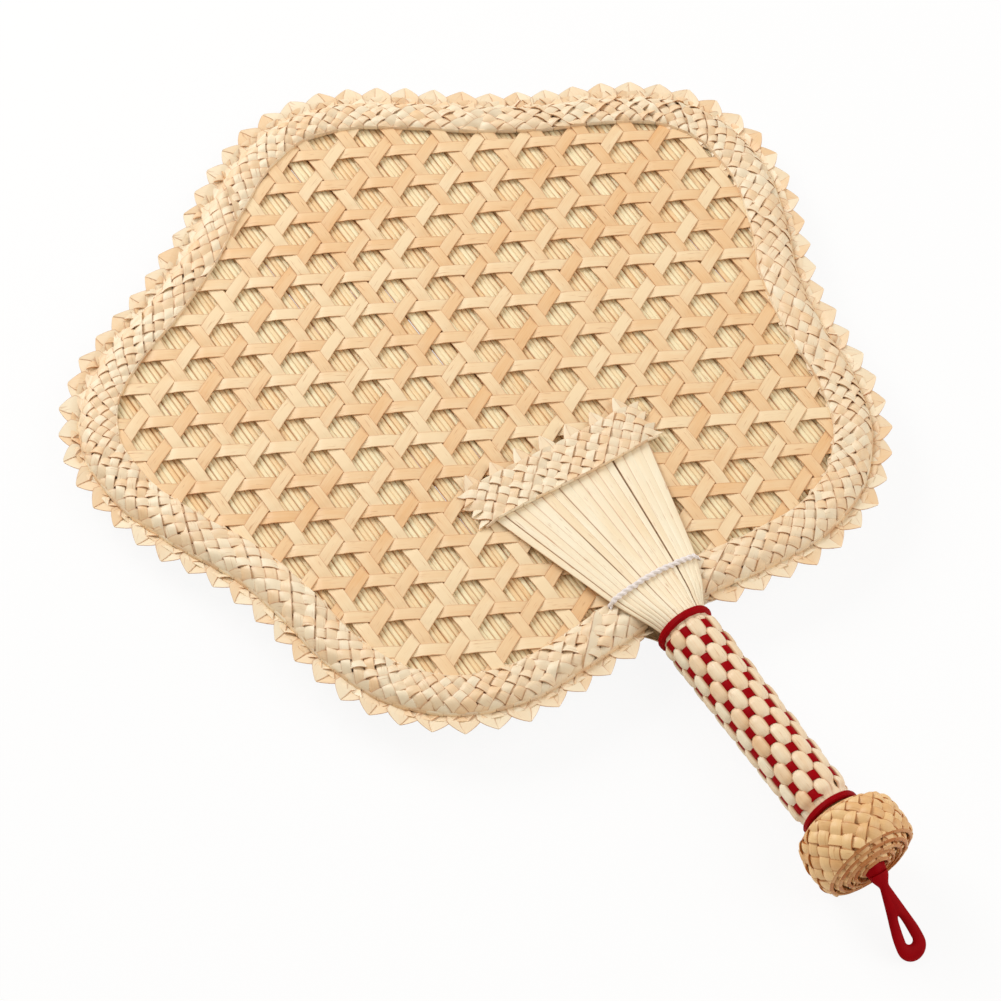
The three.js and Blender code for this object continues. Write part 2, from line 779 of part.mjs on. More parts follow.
addMat();
addLattice();
addBorders();
addSplays();
addRootBraids();
addThreads();
addCore();
addRing('grip_top_ring', ringY);
addRing('grip_end_ring', endRingY);
for (let i = 0; i < stakeCount; i += 1) {
  addStake(i);
}
addRibbon();
addPommel();
addRootPlug();
addLoop();

// Tip the fan onto the table and put the origin under the middle of its box
fan.rotation.x = -tilt;
fan.position.z = lift;
const box = new THREE.Box3().setFromObject(fan, true);
fan.position.y = -(box.min.y + box.max.y) / 2;

const model = new THREE.Group();
model.add(fan);

export default model;
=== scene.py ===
"""Looks of a woven straw fan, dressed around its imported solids."""

import json
import math
from dataclasses import dataclass

import bpy
import numpy as np
from bpy.props import FloatProperty, FloatVectorProperty, PointerProperty
from mathutils import Matrix, Vector


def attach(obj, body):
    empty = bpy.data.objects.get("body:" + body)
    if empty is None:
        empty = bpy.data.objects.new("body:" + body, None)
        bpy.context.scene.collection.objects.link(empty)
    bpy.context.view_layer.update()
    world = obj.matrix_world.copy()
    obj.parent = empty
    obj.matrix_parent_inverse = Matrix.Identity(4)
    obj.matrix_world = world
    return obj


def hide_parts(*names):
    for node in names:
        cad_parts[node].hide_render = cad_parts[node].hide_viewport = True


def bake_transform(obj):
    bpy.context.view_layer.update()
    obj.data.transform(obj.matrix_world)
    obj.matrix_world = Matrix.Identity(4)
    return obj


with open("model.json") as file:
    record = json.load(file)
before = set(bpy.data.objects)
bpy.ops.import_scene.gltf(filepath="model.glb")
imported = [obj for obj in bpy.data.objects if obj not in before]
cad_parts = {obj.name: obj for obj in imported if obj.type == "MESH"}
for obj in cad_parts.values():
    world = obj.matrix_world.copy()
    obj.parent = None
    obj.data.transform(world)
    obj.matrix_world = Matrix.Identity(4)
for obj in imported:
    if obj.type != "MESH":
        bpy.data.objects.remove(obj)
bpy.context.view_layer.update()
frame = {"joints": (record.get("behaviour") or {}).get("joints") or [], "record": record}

bl_info = {
    "name": "Woven straw fan",
    "version": (1, 0, 0),
    "blender": (4, 5, 0),
    "location": "View3D > Sidebar > Straw fan",
    "description": "Builds the straw, plait and ribbon of a woven fan on its packed frame",
    "category": "Object",
}

MM = 0.001

# Crowns and waists of the leaf's edge: degrees from the tip, radius in mm
LOBES = ((0, 152.5), (32, 135.5), (64, 155), (103, 124.5), (136, 139.5), (180, 114))

# Middle of one hexagon of the lattice, from the leaf's middle
HEXAGON_CENTRE = np.array([-9.2, 7.8]) * MM

# Directions of the strips in degrees, with the direction that each one crosses over and under
UPRIGHT = 90
SLANT = 28.3
STRIP_FAMILIES = {
    "axial": (UPRIGHT, SLANT, -SLANT),
    "row": (-SLANT, UPRIGHT, SLANT),
    "rising": (SLANT, -SLANT, UPRIGHT),
}

# Faces of the leaf: the side of its middle plane
FACES = {"front": 1, "back": -1}

# Splayed straws, from the ring to the leaf, in mm: place along the handle, half width,
# height of the middle straw, drop of the outer ones, and the spread of their bow in degrees
SPLAY_SECTIONS = (
    (-118.6, 8.314, 8.5, 6.733, 78),
    (-116.7, 8.314, 8.5, 6.733, 78),
    (-112, 12.5, 7.55, 2.4, 50),
    (-99.5, 17.8, 6.15, 1, 25),
    (-49.3, 31.7, 2.95, 0, 1),
    (-40, 34.275, 2.95, 0, 1),
)
SPLAY_COUNT = 17
STAKE_COUNT = 15
RIBBON_ROUNDS = 12
COIL_TURNS = 5

# Places along the handle, from the leaf's middle
RING_TOP = 118.6 * MM
RING_END = 204.1 * MM
RIBBON_START = 124.5 * MM
RIBBON_PITCH = 6.3 * MM
POMMEL_START = 206 * MM
POMMEL_END = 230 * MM
LOOP_PIVOT = 232.6 * MM

# Straight lines across the leaf: how far they are followed, in what steps, both in mm, and how deep inside
# the edge one has to pass to be used
LINE_REACH = 180
LINE_STEP = 0.5
LEAST_DEPTH = 4 * MM

# Shares of a strand's width at the points of its section
FLAT = np.linspace(-1, 1, 5)
FLAT_UNDER = np.array([1.0, 0.0, -1.0])
ROUND = -np.cos(np.linspace(0, np.pi, 5))
ROUND_UNDER = ROUND[-2:0:-1]
SMOOTH_ROUND = -np.cos(np.linspace(0, np.pi, 9))
SMOOTH_ROUND_UNDER = SMOOTH_ROUND[-2:0:-1]


def length(label, description, millimetres):
    """A length that a user may change."""
    return FloatProperty(
        name=label, description=description, default=millimetres * MM, min=0, precision=5, unit="LENGTH"
    )


def linear(red, green, blue):
    """A colour as it looks on the screen, from 0 to 255, in the renderer's linear values."""
    shares = [channel / 255 for channel in (red, green, blue)]
    return tuple(s / 12.92 if s <= 0.04045 else ((s + 0.055) / 1.055) ** 2.4 for s in shares)


def colour(label, description, red, green, blue):
    """A colour that a user may change."""
    return FloatVectorProperty(
        name=label, description=description, default=linear(red, green, blue),
        size=3, min=0, max=1, subtype="COLOR",
    )


def view_angle(label, description, degrees):
    """An angle that a user may change."""
    return FloatProperty(
        name=label, description=description, default=math.radians(degrees), subtype="ANGLE"
    )


def lamp_power(label, description, watts):
    """A lamp's power that a user may change."""
    return FloatProperty(name=label, description=description, default=watts, min=0, subtype="POWER")


class LeafSizes(bpy.types.PropertyGroup):
    """Sizes of the leaf's straw and plait."""

    stem_pitch: length("Stem pitch", "Distance between the stems of the mat", 1.82)
    stem_radius: length("Stem radius", "Half the thickness of a flattened stem", 0.7)
    strip_width: length("Strip width", "Width of a strip of the lattice", 4.75)
    strip_thickness: length("Strip thickness", "Thickness of a strip of the lattice", 0.28)
    strip_spacing: length("Strip spacing", "Distance between the strips along the handle", 15.45)
    strip_wave: length("Strip wave", "Rise and fall of a strip at its crossings", 0.27)
    border_width: length("Border width", "Width of the border plait with its folded edges", 18)
    plait_pitch: length("Plait pitch", "Distance between the straws of the plait", 6.4)
    point_pitch: length("Point pitch", "Distance between the folded points", 10.8)
    point_height: length("Point height", "How far a folded point stands out", 4.5)
    inner_point_height: length("Inner point height", "How far a point stands out over the leaf", 1.6)
    fold_inset: length("Fold inset", "How far the folded edge stays behind the leaf's edge", 2.8)
    plait_thickness: length("Plait thickness", "Thickness of a straw of the plait", 0.45)
    plait_wave: length("Plait wave", "Rise and fall of a plaited straw", 0.48)


class HandleSizes(bpy.types.PropertyGroup):
    """Sizes of the grip, the pommel and the loop."""

    stake_width: length("Stake width", "Width of a stake where it lies over the ribbon", 4.9)
    ribbon_width: length("Ribbon width", "Width of the woven ribbon", 3.6)
    ring_width: length("Ring width", "Width of the wrap at the leaf's end of the grip", 2.8)
    end_ring_width: length("End ring width", "Width of the wrap at the pommel's end of the grip", 2.5)
    coil_pitch: length("Coil plait pitch", "Distance between the straws of the pommel's plait", 5.7)
    thread_width: length("Thread width", "Width of one ply of the binding thread", 1.5)
    loop_length: length("Loop length", "Length of the hanging loop", 32)
    loop_width: length("Loop width", "Width of the hanging loop", 11)
    loop_thickness: length("Loop thickness", "Thickness of the loop's ribbon", 2.2)


class FinishColours(bpy.types.PropertyGroup):
    """Colours of straw, ribbon and thread."""

    straw_light: colour("Straw, light", "Pale side of the split straw", 250, 226, 187)
    straw_deep: colour("Straw, deep", "Deep side of the split straw", 237, 185, 128)
    plait_light: colour("Plait, light", "Pale side of the plaited straw", 251, 236, 208)
    plait_deep: colour("Plait, deep", "Deep side of the plaited straw", 244, 206, 160)
    pale_light: colour("Splay, light", "Pale side of the splayed straws", 255, 245, 220)
    pale_deep: colour("Splay, deep", "Deep side of the splayed straws", 248, 218, 172)
    stem_light: colour("Stem, light", "Pale side of the stems", 255, 242, 202)
    stem_deep: colour("Stem, deep", "Deep side of the stems", 245, 178, 96)
    tan_light: colour("Coil, light", "Pale side of the pommel's plait", 247, 209, 154)
    tan_deep: colour("Coil, deep", "Deep side of the pommel's plait", 222, 165, 105)
    # The fleck colour is also the brown of the painted shade at the strands' edges and folds
    fleck_and_shade: colour("Flecks", "Brown flecks along the straw", 182, 104, 38)
    ribbon_red: colour("Ribbon", "Red of the ribbon", 162, 1, 13)
    # The dark red paints shade between the ribs and in broad folds, and is also the threads' own deeper tone
    ribbon_dark: colour("Ribbon, dark", "Red between the ribbon's ribs", 112, 0, 8)
    thread: colour("Thread", "Binding thread", 255, 248, 248)


class StageSettings(bpy.types.PropertyGroup):
    """Camera and light."""

    view_turn: view_angle("View turn", "Turn of the camera about the leaf", -32.67)
    view_height: view_angle("View height", "Height of the camera over the leaf", 55.2)
    distance: length("Distance", "Distance from the camera to the leaf", 1400)
    lens: FloatProperty(name="Lens", description="Focal length in millimetres", default=139.86, min=1)
    key_power: lamp_power("Key light", "Power of the large light", 15.6)
    fill_power: lamp_power("Fill light", "Power of the light from the near side", 10)
    sky: FloatProperty(name="Sky", description="Light from all round", default=0.44, min=0)
    sky_tint: colour("Sky tint", "Colour of the light from all round", 255, 243, 224)
    floor: colour("Floor", "Pale floor", 250, 250, 250)


class Shade:
    """A socket of a node tree. Arithmetic on it adds Math nodes."""

    def __init__(self, tree, socket=None):
        self.tree = tree
        self.socket = socket

    def node(self, kind, settings, inputs, output=None):
        """Add a node: its settings first, then the values or links of its sockets."""
        made = self.tree.nodes.new(kind)
        for name, value in settings.items():
            setattr(made, name, value)
        sockets = {socket.identifier: socket for socket in made.inputs}
        for name, value in inputs.items():
            if isinstance(value, Shade):
                self.tree.links.new(value.socket, sockets[name])
            else:
                sockets[name].default_value = value
        outputs = {socket.identifier: socket for socket in made.outputs}
        return Shade(self.tree, outputs.get(output, made.outputs[0]))

    def other(self, output):
        """Another output of the same node."""
        return Shade(self.tree, self.socket.node.outputs[output])

    def math(self, operation, first, second):
        return self.node("ShaderNodeMath", {"operation": operation}, {"Value": first, "Value_001": second})

    def above(self, floor):
        """How far the value stands above a floor, and 0 below it."""
        return self.math("MAXIMUM", self - floor, 0.0)

    def __add__(self, other):
        return self.math("ADD", self, other)

    def __sub__(self, other):
        return self.math("SUBTRACT", self, other)

    def __rsub__(self, other):
        return self.math("SUBTRACT", other, self)

    def __mul__(self, other):
        return self.math("MULTIPLY", self, other)

    __radd__ = __add__
    __rmul__ = __mul__

    def place(self, x, y, z):
        return self.node("ShaderNodeCombineXYZ", {}, {"X": x, "Y": y, "Z": z})

    def noise(self, place, detail):
        return self.node("ShaderNodeTexNoise", {}, {"Vector": place, "Scale": 1.0, "Detail": detail})

    def mix(self, share, first, second):
        """A colour between two others."""
        settings = {"data_type": "RGBA", "clamp_factor": True}
        inputs = {"Factor_Float": share, "A_Color": first, "B_Color": second}
        return self.node("ShaderNodeMix", settings, inputs, "Result_Color")

    def bump(self, height, strength, depth):
        return self.node("ShaderNodeBump", {}, {"Height": height, "Strength": strength, "Distance": depth})


def opaque(rgb):
    return (*rgb, 1.0)


def new_finish(name):
    """A material, its shader and a start for its nodes."""
    material = bpy.data.materials.new(name)
    material.use_nodes = True
    return material, material.node_tree.nodes["Principled BSDF"], Shade(material.node_tree)


def feed(shader, name, value):
    shader.id_data.links.new(value.socket, shader.inputs[name])


# Noise on a strand: spots for each metre along and across it, its step from strand to strand, its detail
STRAW_FIBRES = (70, 3200, 90, 3.0)
STRAW_BLOTCHES = (45, 130, 70, 2.0)
STRAW_FLECKS = (160, 1500, 40, 2.0)
SATIN_THREADS = (900, 4500, 50, 2.0)
SATIN_FOLD_SHADE = (160, 240, 30, 1.0)

# Strength and depth of each finish's relief
STRAW_RELIEF = (0.35, 0.12 * MM)
CORE_RELIEF = (0.5, 0.3 * MM)
SATIN_RELIEF = (0.3, 0.08 * MM)
COTTON_RELIEF = (0.5, 0.1 * MM)

# Straw: shares of blotches and fibres in its tone, where the deep tone and the flecks start, and its gloss
BLOTCH_TONE = 0.9
FIBRE_TONE = 0.5
TONE_START = 0.62
SPREAD_START = 0.2
FLECK_START = 0.63
FLECK_STRENGTH = 3.2
STRAW_ROUGHNESS = 0.32
FIBRE_ROUGHNESS = 0.24

# Satin: radians of its ribs for each metre, shares of ribs, threads and folds in its dark red,
# where the dark red starts, and its gloss; the dark red between the ribs and in the folds is painted shade,
# that of the threads their own tone
RIB_RATE = 13000
RIB_SHADE = 0.12
THREAD_DARK = 0.7
FOLD_SHADE_SHARE = 0.8
DARK_START = 0.6
RIB_RELIEF = 0.3
SATIN_ROUGHNESS = 0.4
THREAD_ROUGHNESS = 0.2

# Cotton: fibres for each metre along and across a ply and their slant, and the shade between them
COTTON_ALONG = 900
COTTON_ACROSS = 1600
COTTON_SLANT = 2200
COTTON_STEP = 60
SHADE_DEPTH = 0.7
SHADE_STRENGTH = 1.6
SHADE_START = 0.5

# Core: fibres for each metre across, along and through it
CORE_FIBRES = (900, 30, 900)

# Straws: light and deep colour, spread of their tones, and for the brown painted shade at the strands' edges
# and folds the share of the width where it starts and its strength
STRAWS = {
    "Split straw": ("straw_light", "straw_deep", 0.75, 0.88, 0.55),
    "Plaited straw": ("plait_light", "plait_deep", 0.8, 0.86, 0.55),
    "Splayed straw": ("pale_light", "pale_deep", 0.5, 0.8, 0.55),
    "Staked straw": ("pale_light", "straw_deep", 0.6, 0.72, 0.65),
    "Stem straw": ("stem_light", "stem_deep", 0.4, 0.55, 0.8),
    "Coiled straw": ("tan_light", "tan_deep", 0.7, 0.84, 0.9),
}


class Grain:
    """Length along a strand, length across it and the strand's own number, as a finish reads them."""

    def __init__(self, start):
        self.start = start
        grain = start.node("ShaderNodeAttribute", {"attribute_name": "grain"}, {}, "Vector")
        self.along = start.node("ShaderNodeSeparateXYZ", {}, {"Vector": grain}, "X")
        self.across = self.along.other("Y")
        self.number = self.along.other("Z")

    def noise(self, along_rate, across_rate, number_rate, detail):
        spot = (self.along * along_rate, self.across * across_rate, self.number * number_rate)
        return self.start.noise(self.start.place(*spot), detail)


def between(start, share, first, second):
    """A colour between two of the user's colours."""
    return start.mix(share, opaque(first), opaque(second))


def straw_finish(name, light, deep, spread, shade_rim, brown):
    """Straw: fibres, a tone for each straw, blotches, brown flecks, and brown painted shade at the strands'
    edges and folds beyond a share.
    """
    colours = bpy.context.scene.fan_colours
    material, shader, start = new_finish(name)
    grain = Grain(start)
    fibres = grain.noise(*STRAW_FIBRES)
    blotches = grain.noise(*STRAW_BLOTCHES)
    flecks = grain.noise(*STRAW_FLECKS)
    spotted = blotches * BLOTCH_TONE + fibres * FIBRE_TONE
    tone = grain.number * spread + spotted - (TONE_START + SPREAD_START * spread)
    body = between(start, tone, getattr(colours, light), getattr(colours, deep))
    # Painted shade: brown toward each strand's edges and over folds, by a share stored in the mesh
    edge = start.node("ShaderNodeAttribute", {"attribute_name": "shade_rim"}, {}, "Fac")
    fleck_and_shade_marks = flecks.above(FLECK_START) * FLECK_STRENGTH + edge.above(shade_rim) * (brown / (1 - shade_rim))
    feed(shader, "Base Color", start.mix(fleck_and_shade_marks, body, opaque(colours.fleck_and_shade)))
    feed(shader, "Roughness", fibres * FIBRE_ROUGHNESS + STRAW_ROUGHNESS)
    feed(shader, "Normal", start.bump(fibres, *STRAW_RELIEF))
    shader.inputs["Specular IOR Level"].default_value = 0.5
    return material


def core_finish():
    """Bundled stems of the core, which hides inside the grip."""
    colours = bpy.context.scene.fan_colours
    material, shader, start = new_finish("Core stems")
    spot = start.node("ShaderNodeTexCoord", {}, {}, "Object")
    drawn_out = {"Vector": spot, "Vector_001": CORE_FIBRES}
    fibres = start.noise(start.node("ShaderNodeVectorMath", {"operation": "MULTIPLY"}, drawn_out), 3.0)
    feed(shader, "Base Color", between(start, fibres, colours.stem_light, colours.stem_deep))
    feed(shader, "Normal", start.bump(fibres, *CORE_RELIEF))
    shader.inputs["Roughness"].default_value = 0.6
    return material


def ribbon_finish():
    """Red satin: fine ribs across the ribbon, painted shade between the ribs and in broad folds, and a soft
    sheen.
    """
    colours = bpy.context.scene.fan_colours
    material, shader, start = new_finish("Red satin")
    grain = Grain(start)
    ribs = start.math("SINE", grain.along * RIB_RATE, 0.0)
    threads = grain.noise(*SATIN_THREADS)
    # Broad patches of painted shade, standing in for folds
    folds = grain.noise(*SATIN_FOLD_SHADE)
    dark = ribs * RIB_SHADE + threads * THREAD_DARK + folds * FOLD_SHADE_SHARE - DARK_START
    feed(shader, "Base Color", between(start, dark, colours.ribbon_red, colours.ribbon_dark))
    feed(shader, "Roughness", threads * THREAD_ROUGHNESS + SATIN_ROUGHNESS)
    feed(shader, "Normal", start.bump(ribs * RIB_RELIEF + threads, *SATIN_RELIEF))
    shader.inputs["Specular IOR Level"].default_value = 0.06
    return material


def thread_finish():
    """Soft cotton: twisted fibres across a ply."""
    colours = bpy.context.scene.fan_colours
    material, shader, start = new_finish("White cotton")
    grain = Grain(start)
    twisted = grain.along * COTTON_ALONG + grain.across * COTTON_SLANT
    spot = start.place(twisted, grain.across * COTTON_ACROSS, grain.number * COTTON_STEP)
    fibres = start.noise(spot, 3.0)
    shaded = tuple(channel * SHADE_DEPTH for channel in colours.thread)
    shade = fibres * SHADE_STRENGTH - SHADE_START
    feed(shader, "Base Color", between(start, shade, colours.thread, shaded))
    feed(shader, "Normal", start.bump(fibres, *COTTON_RELIEF))
    shader.inputs["Roughness"].default_value = 0.85
    shader.inputs["Sheen Weight"].default_value = 0.2
    return material


def finish(name):
    """A finish by its name, made when it is first asked for."""
    found = bpy.data.materials.get(name)
    if found:
        return found
    if name in STRAWS:
        return straw_finish(name, *STRAWS[name])
    others = {"Core stems": core_finish, "Red satin": ribbon_finish, "White cotton": thread_finish}
    return others[name]()


class Strands:
    """Straws, ribbons or threads gathered in one mesh, each with its grain."""

    SHARP_ANGLE = math.radians(50)

    def __init__(self, seed):
        self.random = np.random.default_rng(seed)
        self.points = []
        self.grains = []
        self.shade_rims = []
        self.faces = []
        self.count = 0

    def add(self, place, along, half_width, top, under, shares=FLAT, under_shares=FLAT_UNDER,
            closed=False, shade_rim=None):
        """Add one strand whose points are place(along, across, height); a value given for a fold sets the
        painted shade over the whole fold, and without it the painted shade grows toward the strand's edges.
        """
        along = np.asarray(along, float)
        half = np.broadcast_to(half_width, along.shape)
        columns = [place(along, share * half, top(along, share)) for share in shares]
        columns += [place(along, share * half, under(along, share)) for share in under_shares]
        rings = np.stack(columns, axis=1)
        self.add_grain(rings, half, np.concatenate([shares, under_shares]), len(shares) // 2, shade_rim)
        self.add_faces(rings, closed)

    def add_grain(self, rings, half, shares, middle, shade_rim=None):
        steps = np.linalg.norm(np.diff(rings[:, middle], axis=0), axis=1)
        grain = np.empty(rings.shape)
        grain[:, :, 0] = np.concatenate([[0], np.cumsum(steps)])[:, None]
        grain[:, :, 1] = half[:, None] * shares
        grain[:, :, 2] = self.random.random()
        self.grains.append(grain.reshape(-1, 3))
        # Share of painted shade: growing toward the strand's edges, or one value over a whole fold
        shade_rims = np.abs(shares) if shade_rim is None else np.full(len(shares), shade_rim)
        self.shade_rims.append(np.tile(shade_rims, len(rings)))
        self.points.append(rings.reshape(-1, 3))

    def add_faces(self, rings, closed):
        rows, around = rings.shape[:2]
        index = self.count + np.arange(rows * around).reshape(rows, around)
        first = index if closed else index[:-1]
        following = np.roll(index, -1, axis=0) if closed else index[1:]
        corners = [first, np.roll(first, -1, axis=1), np.roll(following, -1, axis=1), following]
        quads = np.stack(corners, axis=2).reshape(-1, 4)
        caps = [] if closed else [index[0, ::-1], index[-1]]
        if self.faces_inward(rings):
            quads = quads[:, ::-1]
            caps = [cap[::-1] for cap in caps]
        self.faces += quads.tolist() + [cap.tolist() for cap in caps]
        self.count += rows * around

    @staticmethod
    def faces_inward(rings):
        """True where a strand's quads would look at its own middle."""
        row = len(rings) // 2 - 1
        here, there = rings[row], rings[row + 1]
        normals = np.cross(np.roll(here, -1, axis=0) - here, there - here)
        outward = here - here.mean(axis=0)
        return np.sum(normals * outward) < 0

    def build(self, name, finish_name, nodes):
        """Make a piece of the fan itself, in place of its solids."""
        piece = self.make(name, finish_name, nodes, LEAF)
        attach(piece, "fan")

    def make(self, name, finish_name, nodes, matrix):
        mesh = bpy.data.meshes.new(name)
        mesh.from_pydata(np.concatenate(self.points), [], self.faces)
        grain = mesh.attributes.new("grain", "FLOAT_VECTOR", "POINT")
        grain.data.foreach_set("vector", np.concatenate(self.grains).ravel())
        # Share of painted shade at each point, read by the straw finishes
        shade_rim = mesh.attributes.new("shade_rim", "FLOAT", "POINT")
        shade_rim.data.foreach_set("value", np.concatenate(self.shade_rims))
        mesh.shade_smooth()
        mesh.set_sharp_from_angle(angle=self.SHARP_ANGLE)
        mesh.materials.append(finish(finish_name))
        piece = bpy.data.objects.new(name, mesh)
        bpy.context.collection.objects.link(piece)
        piece.matrix_world = matrix
        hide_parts(*nodes)
        return piece


def flat_section(thickness, crown, lift):
    """Top and underside of a flat strand that follows lift(along, share)."""

    def top(along, share):
        return lift(along, share) + thickness / 2 + crown * (1 - share * share)

    def under(along, share):
        return lift(along, share) - thickness / 2

    return {"top": top, "under": under}


def round_section(radius, lift, smooth=False):
    """Top and underside of a round or oval strand."""

    def top(along, share):
        return lift(along, share) + radius * math.sqrt(max(0, 1 - share * share))

    def under(along, share):
        return lift(along, share) - radius * math.sqrt(max(0, 1 - share * share))

    shares = (SMOOTH_ROUND, SMOOTH_ROUND_UNDER) if smooth else (ROUND, ROUND_UNDER)
    return {"top": top, "under": under, "shares": shares[0], "under_shares": shares[1]}


def level(height):
    return lambda along, share: np.full(along.shape, height)


def flat_top(wave, sharpness):
    """A wave with broad crests and quick changes between them."""
    return np.tanh(sharpness * wave) / math.tanh(sharpness)


def smooth_step(value):
    share = np.clip(value, 0, 1)
    return share * share * (3 - 2 * share)


def ripple(run, size, rate, phase=0.0):
    """Unevenness of hand work: its size, and its radians for each unit of the run."""
    return size * np.sin(run * rate + phase)


def stations(run, step, fewest=1):
    """Even stations along a run, about a step apart."""
    first, last = run
    return np.linspace(first, last, max(fewest, math.ceil((last - first) / step)) + 1)


def leaf_matrix():
    """From the leaf's own place, flat and with its tip at +Y, to the frame."""
    tilt = math.asin(-frame["record"]["mounts"][0]["axis"][1])
    pivot = Vector(frame["joints"][0]["pos_m"])
    turned = Matrix.Translation(pivot) @ Matrix.Rotation(-tilt, 4, "X")
    return turned @ Matrix.Translation((0, LOOP_PIVOT, 0))


LEAF = leaf_matrix()


def above_table(points):
    """Straw that would go into the table is pressed flat on it."""
    up = LEAF.to_3x3().transposed() @ Vector((0, 0, 1))
    normal = np.array(up)
    height = points @ normal + LEAF.translation.z
    return points + np.outer(np.maximum(0, -height), normal)


def edge_radius(angle):
    """Radius of the leaf's edge: a cosine from each crown or waist to the next."""
    folded = np.abs((np.asarray(angle, float) + 180) % 360 - 180)
    angles, radii = np.array(LOBES, float).T
    after = np.clip(np.searchsorted(angles, folded), 1, len(angles) - 1)
    share = (folded - angles[after - 1]) / (angles[after] - angles[after - 1])
    swing = (1 - np.cos(np.pi * share)) / 2
    return (radii[after - 1] + (radii[after] - radii[after - 1]) * swing) * MM


def run_inside(points_at, inset):
    """The stretch of a straight line that lies inside the leaf's edge."""
    along = np.arange(-LINE_REACH, LINE_REACH + LINE_STEP, LINE_STEP) * MM
    x, y = points_at(along).T
    depth = edge_radius(np.degrees(np.arctan2(x, y))) - np.hypot(x, y) - inset
    deepest = int(np.argmax(depth))
    if depth[deepest] <= LEAST_DEPTH:
        return None
    before = np.nonzero(depth[:deepest] <= 0)[0]
    after = np.nonzero(depth[deepest:] <= 0)[0]
    return along[before[-1] + 1], along[deepest + after[0] - 1]


class LeafEdge:
    """The leaf's edge by the length along it."""

    SAMPLES = 2001

    def __init__(self, end_angle):
        self.angles = np.linspace(-end_angle, end_angle, self.SAMPLES)
        turn = np.radians(self.angles)
        self.points = np.column_stack([np.sin(turn), np.cos(turn)]) * edge_radius(self.angles)[:, None]
        steps = np.linalg.norm(np.diff(self.points, axis=0), axis=1)
        self.lengths = np.concatenate([[0], np.cumsum(steps)])
        travel = np.gradient(self.points, axis=0)
        travel /= np.linalg.norm(travel, axis=1)[:, None]
        self.inward = np.column_stack([travel[:, 1], -travel[:, 0]])
        self.total = self.lengths[-1]

    def between(self, run, table):
        return np.interp(run, self.lengths, table)

    def at(self, run, inset):
        """The point at a length along the edge and an inset from it."""
        columns = [
            self.between(run, self.points[:, axis]) + inset * self.between(run, self.inward[:, axis])
            for axis in (0, 1)
        ]
        return np.column_stack(columns)

    def angle(self, run):
        return self.between(run, self.angles)


